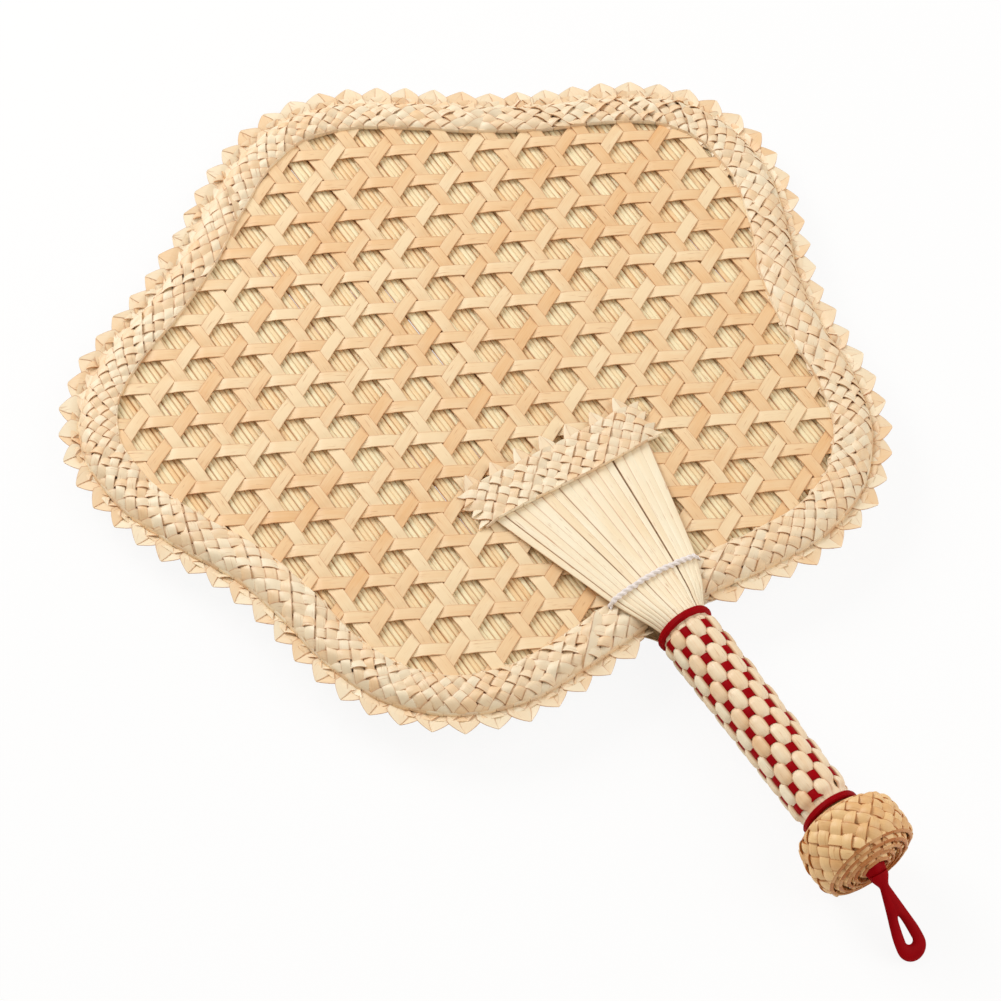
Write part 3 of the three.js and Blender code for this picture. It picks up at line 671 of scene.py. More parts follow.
@dataclass
class Plait:
    """A flat braid on a sheet: surface(run along it, place across it, height above it)."""

    strands: Strands
    surface: object
    run: float
    width: float
    pitch: float
    wave: float
    thickness: float
    # Painted shade over the folds along the edges, as a share for the straw finish
    painted_fold_shade: float

    # Straws, in shares of the pitch, the wave and the thickness
    STRAW_FILL = 0.95
    STRAW_WIDTHS = (0.85, 1.04)
    STRAW_SHIFT = 0.033
    STRAW_RAISE = 0.1
    STRAW_CROWN = 0.5
    STEPS = 5
    SHARPNESS = 1.6
    TILT = 0.15

    # Folds along an edge
    FOLD_REACH = 0.5 * MM
    FOLD_REACHES = (0.9, 1.15)
    FOLD_COVER = 0.8
    FOLD_FILL = 0.97
    FOLD_ENDS = 0.8
    FOLD_ROUND = 0.96
    FOLD_STATIONS = 7
    # Spread of the painted shade from fold to fold
    PAINTED_FOLD_SPREAD = (0.93, 1.02)

    # Folded points
    POINT_TUCK = 4.5 * MM
    POINT_TIP = 0.35 * MM
    POINT_RIDGE = 0.75 * MM
    POINT_HEIGHTS = (0.9, 1.08)
    POINT_WIDTHS = (0.94, 1.06)
    RIDGE_SHIFTS = (-0.35, 0.35)
    POINT_RAISE = (0.3, 0.15)
    BLUNTNESS = 1.3
    RIDGE_FADE = 0.7
    FACET_LAP = 0.6
    FACET_MARGIN = 0.1 * MM
    FACET_THICKNESS = 0.8
    FACET_CROWN = 0.1
    FACET_STATIONS = 7

    def weave(self):
        """Straws both ways across the band, each over one and under one."""
        starts = np.arange(math.ceil(-self.width / self.pitch), (self.run + self.width) / self.pitch)
        for way in (1, -1):
            for start in starts * self.pitch:
                ends = sorted((-way * start, way * (self.run - start)))
                low, high = max(0, ends[0]), min(self.width, ends[1])
                if high - low > self.pitch / 2:
                    self.straw(way, start, low, high)

    def straw(self, way, start, low, high):
        random = self.strands.random
        half = self.STRAW_FILL * self.pitch / 2 * random.uniform(*self.STRAW_WIDTHS)
        shifted = start + random.normal(0, self.STRAW_SHIFT * self.pitch)
        raised = random.normal(0, self.STRAW_RAISE) * self.wave
        tilt = random.normal(0, self.TILT) * half

        def place(across_band, offset, height):
            return self.surface(shifted + way * across_band + offset, across_band, height)

        def lift(across_band, share):
            phase = 2 * np.pi * (across_band + way * share * half / 2) / self.pitch
            return raised + tilt * share - way * self.wave * flat_top(np.cos(phase), self.SHARPNESS)

        count = max(3, math.ceil((high - low) / self.pitch * 2 * self.STEPS)) + 1
        section = flat_section(self.thickness, self.STRAW_CROWN * self.thickness, lift)
        self.strands.add(place, np.linspace(low, high, count), half, **section)

    def folds(self, across_band, fullness=1.0, stretch=None):
        """The straws' folds along one edge or a stretch of it, as a row of small rolls."""
        first, last = stretch or (0.0, self.run)
        height = fullness * (self.wave + self.FOLD_COVER * self.thickness)
        for middle in np.arange(first + self.pitch / 2, last, self.pitch):
            self.roll(middle, across_band, height)

    def roll(self, middle, across_band, height):
        random = self.strands.random
        reach = self.FOLD_REACH * random.uniform(*self.FOLD_REACHES)

        def place(run, offset, rise):
            return self.surface(run, across_band + offset, rise)

        share = np.linspace(-1, 1, self.FOLD_STATIONS)
        swell = self.FOLD_ENDS + (1 - self.FOLD_ENDS) * np.sqrt(1 - (self.FOLD_ROUND * share) ** 2)
        along = middle + share * self.pitch * self.FOLD_FILL / 2
        section = round_section(height, level(0.0))
        # Painted shade over this fold
        shade_rim = self.painted_fold_shade * random.uniform(*self.PAINTED_FOLD_SPREAD)
        self.strands.add(place, along, reach * swell, shade_rim=shade_rim, **section)

    def point(self, middle, across_band, outward, base, height):
        """A folded point: two facets that meet on a ridge, one over the other."""
        random = self.strands.random
        tall = height * random.uniform(*self.POINT_HEIGHTS)
        wide = base * random.uniform(*self.POINT_WIDTHS)
        ridge = random.uniform(*self.RIDGE_SHIFTS)
        raised = random.normal(*self.POINT_RAISE) * self.thickness
        for hand, lower in ((-1, 0.0), (1, self.FACET_LAP * self.thickness)):
            self.facet(middle, across_band, outward, (wide, tall), ridge, hand, raised - lower)

    def facet(self, middle, across_band, outward, size, ridge, hand, raised):
        wide, tall = size

        def reach(out):
            """Half the point's width: full at the band's edge, blunt at the tip."""
            gone = np.clip(out / tall, 0, 1)
            return wide / 2 * (1 - gone**self.BLUNTNESS) + self.POINT_TIP * gone

        def place(out, offset, rise):
            run = middle + reach(out) * (hand + ridge) / 2 + offset
            return self.surface(run, across_band + outward * out, rise)

        def lift(out, share):
            fall = self.POINT_RIDGE * (1 + hand * share) / 2
            return raised - fall * (1 - self.RIDGE_FADE * np.clip(out / tall, 0, 1))

        rounded = np.sin(np.linspace(0, np.pi / 2, self.FACET_STATIONS))
        out = np.concatenate([[-self.POINT_TUCK], tall * rounded])
        half = reach(out) * (1 - hand * ridge) / 2 + self.FACET_MARGIN
        section = flat_section(self.FACET_THICKNESS * self.thickness, self.FACET_CROWN * self.thickness, lift)
        self.strands.add(place, out, half, **section)


def strip_place(angle, offset, side, height):
    """Points of a straight strip in the leaf's plane."""
    turn = math.radians(angle)
    forward = np.array([math.cos(turn), math.sin(turn)])
    sideways = np.array([-math.sin(turn), math.cos(turn)])

    def place(along, across, rise):
        flat = HEXAGON_CENTRE + np.outer(along, forward) + np.outer(across + offset, sideways)
        return np.column_stack([flat, side * (height + rise)])

    return place


def strip_spacing(angle):
    """Distance between strips of one direction: slanting ones pass midway between upright crossings."""
    upright = bpy.context.scene.fan_leaf.strip_spacing
    return upright if angle == UPRIGHT else 2 * upright * math.sin(math.radians(abs(angle)))


def line_wave(points, angle):
    """1 on the strips' middle lines of one direction and -1 midway between them."""
    turn = math.radians(angle)
    across = (points - HEXAGON_CENTRE) @ np.array([-math.sin(turn), math.cos(turn)])
    return np.cos(2 * np.pi * (across / strip_spacing(angle) - 0.5))


class FAN_OT_stems(bpy.types.Operator):
    """Lay the stems of the leaf's mat"""

    bl_idname = "straw_fan.stems"
    bl_label = "Stems of the mat"
    INSET = 9 * MM
    STEP = 10 * MM
    HALF_WIDTHS = (0.57, 0.63)
    DRIFT = 0.05
    RAISE = 0.12
    WANDER = (0.12 * MM, 60)

    def execute(self, context):
        sizes = context.scene.fan_leaf
        stems = Strands(seed=11)
        widest = max(radius for angle, radius in LOBES) * MM
        for x in np.arange(-widest, widest, sizes.stem_pitch):
            self.stem(stems, x, sizes)
        stems.build("leaf_stems", "Stem straw", ["stem_mat"])
        return {"FINISHED"}

    def stem(self, stems, x, sizes):
        run = run_inside(lambda along: np.column_stack([np.full(along.shape, x), along]), self.INSET)
        if run is None:
            return
        random = stems.random
        drift = random.normal(0, self.DRIFT) * sizes.stem_pitch
        raised = random.normal(0, self.RAISE) * sizes.stem_radius
        phase = random.uniform(0, 2 * np.pi)

        def place(along, across, height):
            wander = drift + ripple(along, *self.WANDER, phase)
            return np.column_stack([x + across + wander, along, height])

        along = stations(run, self.STEP, fewest=4)
        half = sizes.stem_pitch * random.uniform(*self.HALF_WIDTHS)
        stems.add(place, along, half, **round_section(sizes.stem_radius, level(raised)))


class FAN_OT_lattice(bpy.types.Operator):
    """Weave strips of straw in three directions over both faces of the mat"""

    bl_idname = "straw_fan.lattice"
    bl_label = "Strips of the lattice"
    HEIGHT = 1.95 * MM
    TUCK = 9 * MM
    STEP = 1.2 * MM
    SHARPNESS = 1.5
    STRIPS = 11
    DRIFT = 0.2 * MM
    WIDTHS = (0.96, 1.03)
    CROWN = 0.06 * MM

    def execute(self, context):
        sizes = context.scene.fan_leaf
        for face, side in FACES.items():
            for order, family in enumerate(STRIP_FAMILIES):
                strips = Strands(seed=20 + order + 5 * side)
                for number in range(-self.STRIPS, self.STRIPS):
                    self.strip(strips, family, number + 0.5, side, sizes)
                strips.build(f"{face}_{family}_weave", "Split straw", [f"{face}_{family}_strips"])
        return {"FINISHED"}

    def strip(self, strips, family, number, side, sizes):
        angle, over, under = STRIP_FAMILIES[family]
        random = strips.random
        offset = number * strip_spacing(angle) + random.normal(0, self.DRIFT)
        place = strip_place(angle, offset, side, self.HEIGHT)
        run = run_inside(lambda along: place(along, 0 * along, 0 * along)[:, :2], self.TUCK)
        if run is None:
            return
        half = sizes.strip_width / 2 * random.uniform(*self.WIDTHS)

        def lift(along, share):
            points = place(along, share * half, 0 * along)[:, :2]
            wave = line_wave(points, over) - line_wave(points, under)
            return sizes.strip_wave * flat_top(wave, self.SHARPNESS)

        section = flat_section(sizes.strip_thickness, self.CROWN, lift)
        strips.add(place, stations(run, self.STEP), half, **section)


class FAN_OT_borders(bpy.types.Operator):
    """Plait the border of both faces, with its folded edges and points"""

    bl_idname = "straw_fan.borders"
    bl_label = "Border plaits"
    END_ANGLE = 175
    POINTS_END = 172
    FRONT_POINTS = (-62, 58)
    FOLD_FADE = 4
    FOLD_SHIFT = 0.6
    # Painted shade over the folded edges
    PAINTED_FOLD_SHADE = 0.9
    FRONT_BACK = 4 * MM
    MIDDLE = 3.5 * MM
    MARGIN = 0.7 * MM
    FRONT_DRAW = 3.6 * MM
    FRONT_REACH = 5.5 * MM
    FOLD_DRAW = 0.9 * MM
    BACK_DRAW = 3.2 * MM
    BACK_REACH = 9 * MM
    INNER_DRAW = 1 * MM
    INNER_REACH = 4 * MM
    INNER_LIMIT = 1.2
    LONG_WANDER = (0.25 * MM, 83)
    SHORT_WANDER = (0.15 * MM, 211)
    LUMPS = (0.12 * MM, 140)
    LUMP_TWIST = 300
    POINT_FILL = 1.12
    INNER_POINT_FILL = 0.8

    def execute(self, context):
        sizes = context.scene.fan_leaf
        for face, side in FACES.items():
            self.border(face, side, sizes)
        return {"FINISHED"}

    def border(self, face, side, sizes):
        edge = LeafEdge(self.END_ANGLE)
        weave_width = sizes.border_width - 2 * self.MARGIN

        def surface(run, across_band, height):
            folded = self.folded(edge.angle(run)) if side > 0 else 0 * run
            shift = self.FRONT_BACK + folded * (sizes.fold_inset - self.FRONT_BACK) if side > 0 else 0 * run
            own = self.MARGIN + across_band * (1 - shift / weave_width)
            wander = ripple(run, *self.LONG_WANDER) + ripple(run, *self.SHORT_WANDER, side)
            inner = np.clip(1 - (weave_width - across_band) / self.INNER_REACH, 0, self.INNER_LIMIT)
            drawn = self.rim_draw(own, folded, side) + self.INNER_DRAW * inner**2
            lump = ripple(run, *self.LUMPS, across_band * self.LUMP_TWIST)
            rise = self.MIDDLE + height - drawn + lump
            return np.column_stack([edge.at(run, own + shift + wander), side * rise])

        strands = Strands(seed=40 + side)
        pitch = edge.total / round(edge.total / sizes.plait_pitch)
        relief = (sizes.plait_wave, sizes.plait_thickness)
        plait = Plait(strands, surface, edge.total, weave_width, pitch, *relief, self.PAINTED_FOLD_SHADE)
        plait.weave()
        plait.folds(weave_width)
        if side > 0:
            first, last = np.interp(self.FRONT_POINTS, edge.angles, edge.lengths)
            plait.folds(0.0, stretch=(0.0, first + sizes.point_pitch))
            plait.folds(0.0, stretch=(last - sizes.point_pitch, edge.total))
        self.points(plait, edge, side, sizes)
        strands.build(f"{face}_border_plait", "Plaited straw", [f"{face}_border"])

    def rim_draw(self, own, folded, side):
        """How far the outer edge is drawn to the leaf's middle: in a round in front, slowly at the back."""
        if side < 0:
            return self.BACK_DRAW * smooth_step(1 - own / self.BACK_REACH)
        full_draw = self.FRONT_DRAW + self.FOLD_DRAW * folded
        return full_draw * np.clip(1 - own / self.FRONT_REACH, 0, 1) ** 2

    def folded(self, angle):
        """1 where the front's outer edge is folded and 0 where it has points."""
        low, high = self.FRONT_POINTS
        beyond = (low - angle, angle - high)
        return sum(smooth_step(degrees / self.FOLD_FADE + self.FOLD_SHIFT) for degrees in beyond)

    def points(self, plait, edge, side, sizes):
        """Points at equal distances, those of the front midway between those of the back."""
        first, last = np.interp((-self.POINTS_END, self.POINTS_END), edge.angles, edge.lengths)
        spacing = (last - first) / round((last - first) / sizes.point_pitch)
        low, high = self.FRONT_POINTS
        outer = (0.0, -1, self.POINT_FILL * spacing, sizes.point_height)
        inner = (plait.width, 1, self.INNER_POINT_FILL * spacing, sizes.inner_point_height)
        for middle in np.arange(first + spacing / 2, last, spacing):
            if side < 0:
                plait.point(middle, *outer)
            elif low < edge.angle(middle) < high:
                plait.point(middle + spacing / 2, *outer)
            else:
                plait.point(middle, *inner)


class FAN_OT_root_braids(bpy.types.Operator):
    """Plait the short braids over the ends of the splay"""

    bl_idname = "straw_fan.root_braids"
    bl_label = "Root braids"
    HALF_LENGTH = 36.5 * MM
    UPPER = -32.2 * MM
    WIDTH = 16.2 * MM
    MIDDLE = 4.75 * MM
    STRAWS = 14
    POINTS = 7
    POINT_WIDTH = 7 * MM
    POINT_HEIGHT = 5.5 * MM
    WAVE = 0.45 * MM
    END_DROP = 1.8 * MM
    DROP_START = 30 * MM
    DROP_LENGTH = 8 * MM
    BOW = (0.6 * MM, 70, 1)
    HEM = 0.8
    # Painted shade over the folded edges
    PAINTED_FOLD_SHADE = 0.9

    def execute(self, context):
        sizes = context.scene.fan_leaf
        for face, side in FACES.items():
            self.braid(face, side, sizes)
        return {"FINISHED"}

    def braid(self, face, side, sizes):
        run = 2 * self.HALF_LENGTH
        pitch = run / self.STRAWS

        def surface(along, across_band, height):
            x = along - self.HALF_LENGTH
            drop = self.END_DROP * smooth_step((np.abs(x) - self.DROP_START) / self.DROP_LENGTH)
            y = self.UPPER - across_band + ripple(along, *self.BOW)
            return np.column_stack([x, y, side * (self.MIDDLE + height - drop)])

        strands = Strands(seed=60 + side)
        relief = (self.WAVE, sizes.plait_thickness)
        plait = Plait(strands, surface, run, self.WIDTH, pitch, *relief, self.PAINTED_FOLD_SHADE)
        plait.weave()
        plait.folds(self.WIDTH, self.HEM)
        spacing = run / self.POINTS
        for middle in np.arange(spacing / 2, run, spacing):
            plait.point(middle, 0.0, -1, self.POINT_WIDTH, self.POINT_HEIGHT)
        strands.build(f"{face}_root_plait", "Plaited straw", [f"{face}_root_braid"])


class Splay:
    """The sheet that the splayed straws lie in."""

    STEP = 2 * MM
    SMOOTHING = 5

    def __init__(self):
        table = np.array(SPLAY_SECTIONS, float)
        start, end = table[0, 0] * MM, table[-1, 0] * MM
        self.along = np.linspace(start, end, round((end - start) / self.STEP) + 1)
        scales = (MM, MM, MM, math.pi / 180)
        columns = [
            np.interp(self.along, table[:, 0] * MM, table[:, column + 1] * scale)
            for column, scale in enumerate(scales)
        ]
        self.half, self.height, self.drop, self.bow = [self.smoothed(column) for column in columns]

    def smoothed(self, values):
        side = self.SMOOTHING // 2
        padded = np.pad(values, side, mode="edge")
        return np.convolve(padded, np.ones(self.SMOOTHING) / self.SMOOTHING, mode="valid")

    def point(self, along, place, above):
        """The point at a place along the handle, and a place across from -1 to 1."""
        half, height, drop, bow = [
            np.interp(along, self.along, table) for table in (self.half, self.height, self.drop, self.bow)
        ]
        x = half * np.sin(bow * place) / np.sin(bow)
        fall = drop * (1 - np.cos(bow * place)) / (1 - np.cos(bow))
        return np.column_stack([x, along, height - fall + above])


class FAN_OT_splays(bpy.types.Operator):
    """Splay the straws from the grip over both faces of the leaf"""

    bl_idname = "straw_fan.splays"
    bl_label = "Splayed straws"
    THICKNESS = 0.3 * MM
    CROWN = 0.34 * MM
    DRIFT = 0.08
    HALF_WIDTHS = (0.92, 1.16)
    LAP = 0.12 * MM
    RAISE = 0.15 * MM
    WANDER = (0.06 / SPLAY_COUNT, 90)

    def execute(self, context):
        splay = Splay()
        for number in range(SPLAY_COUNT):
            straws = Strands(seed=80 + number)
            self.straw(straws, splay, number, 1)
            node = f"front_splay_straw_{number + 1}"
            straws.build(f"front_straw_{number + 1}", "Splayed straw", [node])
        straws = Strands(seed=120)
        for number in range(SPLAY_COUNT):
            self.straw(straws, splay, number, -1)
        straws.build("back_straws", "Splayed straw", ["back_splay"])
        return {"FINISHED"}

    def straw(self, straws, splay, number, side):
        random = straws.random
        middle = (2 * number + 1) / SPLAY_COUNT - 1 + random.normal(0, self.DRIFT) / SPLAY_COUNT
        half = random.uniform(*self.HALF_WIDTHS) / SPLAY_COUNT * splay.half
        raised = self.LAP * (number % 2) + random.uniform(0, self.RAISE)
        phase = random.uniform(0, 2 * np.pi)

        def place(along, across, height):
            wander = ripple(along, *self.WANDER, phase)
            spots = splay.point(along, middle + wander + across / splay.half, height)
            spots[:, 2] *= side
            return spots

        section = flat_section(self.THICKNESS, self.CROWN, level(raised + self.THICKNESS / 2))
        straws.add(place, splay.along, half, **section)


class FAN_OT_threads(bpy.types.Operator):
    """Bind the splays with a twisted thread"""

    bl_idname = "straw_fan.threads"
    bl_label = "Binding threads"
    ALONG = -99.5 * MM
    BOW = 1.6 * MM
    REACH = 1.08
    HEIGHT = 1.45 * MM
    TWISTS = 8
    TWIST_OFFSET = 0.26
    ENDS_START = 0.88
    ENDS_DOWN = 2.2 * MM
    STITCHES = (-0.36, 0.42)
    STITCH_LENGTH = 0.035
    STITCH_DEPTH = 0.6 * MM
    STATIONS = 121

    def execute(self, context):
        width = context.scene.fan_handle.thread_width
        splay = Splay()
        for face, side in FACES.items():
            strands = Strands(seed=140 + side)
            for ply in range(2):
                self.ply(strands, splay, ply * math.pi, side, width)
            strands.build(f"{face}_thread", "White cotton", [f"{face}_binding_thread"])
        return {"FINISHED"}

    def ply(self, strands, splay, turn, side, width):
        share = np.linspace(-1, 1, self.STATIONS)
        bow = self.BOW * (1 - share**2)
        dips = sum(np.exp(-(((share - stitch) / self.STITCH_LENGTH) ** 2)) for stitch in self.STITCHES)
        ends = smooth_step((np.abs(share) - self.ENDS_START) / (1 - self.ENDS_START))
        above = self.HEIGHT - self.STITCH_DEPTH * dips - self.ENDS_DOWN * ends
        middle = splay.point(self.ALONG + bow, self.REACH * share, above)
        twist = turn + share * math.pi * self.TWISTS
        offset = width * self.TWIST_OFFSET
        spots = middle + np.column_stack([0 * twist, offset * np.cos(twist), offset * np.sin(twist)])

        def place(along, sideways, height):
            turned = spots + np.column_stack([0 * sideways, sideways, height])
            turned[:, 2] *= side
            return turned

        strands.add(place, share, width / 2, **round_section(width / 2, level(0.0)))


def grip_point(turn, radius, distance):
    """A point round the handle's axis: turns from the top, radius and distance along it."""
    angle = 2 * np.pi * turn
    return np.column_stack([radius * np.sin(angle), -distance + 0 * angle, radius * np.cos(angle)])


class FAN_OT_grip(bpy.types.Operator):
    """Weave the grip: straw stakes round one red ribbon, with a wrap at each end"""

    bl_idname = "straw_fan.grip"
    bl_label = "Woven grip"

    # Stakes
    STAKE_MIDDLE = 9.4 * MM
    STAKE_WAVE = 0.75 * MM
    STAKE_BIAS = 0.3
    STAKE_SHARPNESS = 1.7
    STAKE_TAPER = 0.2
    STAKE_THICKNESS = 0.45 * MM
    STAKE_CROWN = 0.75 * MM
    STAKE_SINK = -0.2 * MM
    STAKE_STEP = 0.75 * MM
    STAKE_WIDTHS = (0.96, 1.04)
    STAKE_DRIFT = 0.0012
    RING_CLEAR = 1.8 * MM
    RING_FADE = 2.6 * MM

    # Woven ribbon
    RIBBON_MIDDLE = 9.5 * MM
    RIBBON_LEAD = 0.7
    RIBBON_WAVE = 0.42 * MM
    RIBBON_THICKNESS = 0.3 * MM
    RIBBON_CROWN = 0.12 * MM
    RIBBON_STEPS = 6

    # Wraps at the ends
    END_RING_SHIFT = 0.8 * MM
    RING_RADIUS = 9.8 * MM
    RING_HEIGHT = 0.85 * MM
    RING_DEPTH = 0.6 * MM
    RING_GROOVES = 4
    GROOVE = 0.06 * MM
    GROOVE_DRIFT = (0.06 * MM, 40)
    GROOVE_TWIST = 3
    RING_STATIONS = 96
    RING_SHARES = 17

    def execute(self, context):
        sizes = context.scene.fan_handle
        for number in range(STAKE_COUNT):
            self.stake(number, sizes)
        self.ribbon(sizes)
        self.ring("grip_top_wrap", "grip_top_ring", RING_TOP, sizes.ring_width)
        self.ring("grip_end_wrap", "grip_end_ring", RING_END + self.END_RING_SHIFT, sizes.end_ring_width)
        core = bpy.data.objects["handle_core"]
        core.data.materials.clear()
        core.data.materials.append(finish("Core stems"))
        return {"FINISHED"}

    def stake(self, number, sizes):
        strands = Strands(seed=310 + number)
        random = strands.random
        turn = number / STAKE_COUNT + random.normal(0, self.STAKE_DRIFT)
        even = 1 if number % 2 == 0 else -1

        def over(distance):
            """Near 1 where the stake lies over the ribbon, near -1 where it is under it."""
            rounds = (distance - RIBBON_START) / RIBBON_PITCH - number / STAKE_COUNT
            wave = even * np.cos(np.pi * rounds) + self.STAKE_BIAS
            return flat_top(wave, self.STAKE_SHARPNESS)

        def free(distance):
            """1 where no ring is near, and 0 under a ring."""
            nearest = np.minimum(distance - RING_TOP, RING_END - distance)
            return smooth_step((nearest - self.RING_CLEAR) / self.RING_FADE)

        def place(distance, across, height):
            rise = free(distance) * (1 + over(distance)) - 1
            radius = self.STAKE_MIDDLE + self.STAKE_WAVE * rise + height
            return grip_point(turn + across / (2 * np.pi * self.STAKE_MIDDLE), radius, distance)

        distance = np.arange(RING_TOP, POMMEL_START, self.STAKE_STEP)
        narrowed = self.STAKE_TAPER * (1 - over(distance)) * free(distance)
        half = sizes.stake_width / 2 * (1 - narrowed) * random.uniform(*self.STAKE_WIDTHS)
        section = flat_section(self.STAKE_THICKNESS, self.STAKE_CROWN, level(self.STAKE_SINK))
        strands.add(place, distance, half, **section)
        strands.build(f"stake_{number + 1}_straw", "Staked straw", [f"grip_stake_{number + 1}"])

    def ribbon(self, sizes):
        strands = Strands(seed=190)

        def place(crossing, across, height):
            turn = crossing / STAKE_COUNT
            radius = self.RIBBON_MIDDLE - self.RIBBON_WAVE * np.cos(np.pi * crossing) + height
            return grip_point(turn, radius, RIBBON_START + RIBBON_PITCH * turn + across)

        first, last = -self.RIBBON_LEAD * STAKE_COUNT, RIBBON_ROUNDS * STAKE_COUNT
        crossing = np.arange(first, last, 1 / self.RIBBON_STEPS)
        section = flat_section(self.RIBBON_THICKNESS, self.RIBBON_CROWN, level(0.0))
        strands.add(place, crossing, sizes.ribbon_width / 2, **section)
        strands.build("grip_ribbon_satin", "Red satin", ["grip_ribbon"])

    def ring(self, name, node, middle, width):
        """A wrap of ribbon, whose turns show as shallow grooves."""
        strands = Strands(seed=200)
        turns = np.linspace(0, 1, self.RING_STATIONS, endpoint=False)

        def place(turn, across, height):
            return grip_point(turn, self.RING_RADIUS + height, middle + across)

        def top(turn, share):
            edge = self.RING_HEIGHT * math.sqrt(max(0, 1 - share**4))
            groove = self.GROOVE * math.cos(share * self.RING_GROOVES * math.pi)
            return edge + groove + ripple(turn, *self.GROOVE_DRIFT, share * self.GROOVE_TWIST)

        shares = np.linspace(-1, 1, self.RING_SHARES)
        strands.add(place, turns, width / 2, top, level(-self.RING_DEPTH), shares=shares, closed=True)
        strands.build(name, "Red satin", [node])


class FAN_OT_pommel(bpy.types.Operator):
    """Roll a plait into the pommel's coil"""

    bl_idname = "straw_fan.pommel"
    bl_label = "Rolled pommel"
    INNER_RADIUS = 5.4 * MM
    RISE = 2.8 * MM
    WIDTH = 15.5 * MM
    FRONT_DOME = 7.4 * MM
    END_DOME = 4.4 * MM
    MARGIN = 0.6 * MM
    SHOULDER = 1.5 * MM
    WAVE = 0.5 * MM
    STRAW = 0.7 * MM
    LAYER = 0.55
    # Painted shade over the folded edges
    PAINTED_FOLD_SHADE = 1.0
    OUTER_END = 0.5 + 30 / 360
    LUMPS = (0.2 * MM, 190)
    LUMP_TWIST = 260
    WANDER = (0.4 * MM, 61)

    def execute(self, context):
        pitch = context.scene.fan_handle.coil_pitch
        run = 2 * math.pi * (self.INNER_RADIUS * COIL_TURNS + self.RISE * COIL_TURNS**2 / 2)
        strands = Strands(seed=210)
        relief = (self.WAVE, self.STRAW)
        plait = Plait(strands, self.surface, run, self.WIDTH, pitch, *relief, self.PAINTED_FOLD_SHADE)
        plait.weave()
        plait.folds(0.0, self.LAYER)
        plait.folds(self.WIDTH, self.LAYER)
        strands.build("pommel_plait", "Coiled straw", ["pommel_coil"])
        return {"FINISHED"}

    def surface(self, along, across_band, height):
        """A point of the rolled band, whose turns stand back from both ends toward the outside."""
        inner = self.INNER_RADIUS
        wound = (np.sqrt(inner**2 + self.RISE * np.maximum(along, 0) / math.pi) - inner) / self.RISE
        share = across_band / self.WIDTH
        shoulder = self.SHOULDER * np.abs(2 * share - 1) ** 3
        lump = ripple(along, *self.LUMPS, across_band * self.LUMP_TWIST)
        radius = inner + self.RISE * wound + height - shoulder + lump
        stand_back = 1 - np.sqrt(np.maximum(0, 1 - (wound / COIL_TURNS) ** 2))
        front = POMMEL_START + self.MARGIN + self.FRONT_DOME * stand_back
        end = POMMEL_END - self.MARGIN - self.END_DOME * stand_back
        distance = front + (end - front) * share + ripple(along, *self.WANDER)
        return above_table(grip_point(self.OUTER_END + wound - COIL_TURNS, radius, distance))


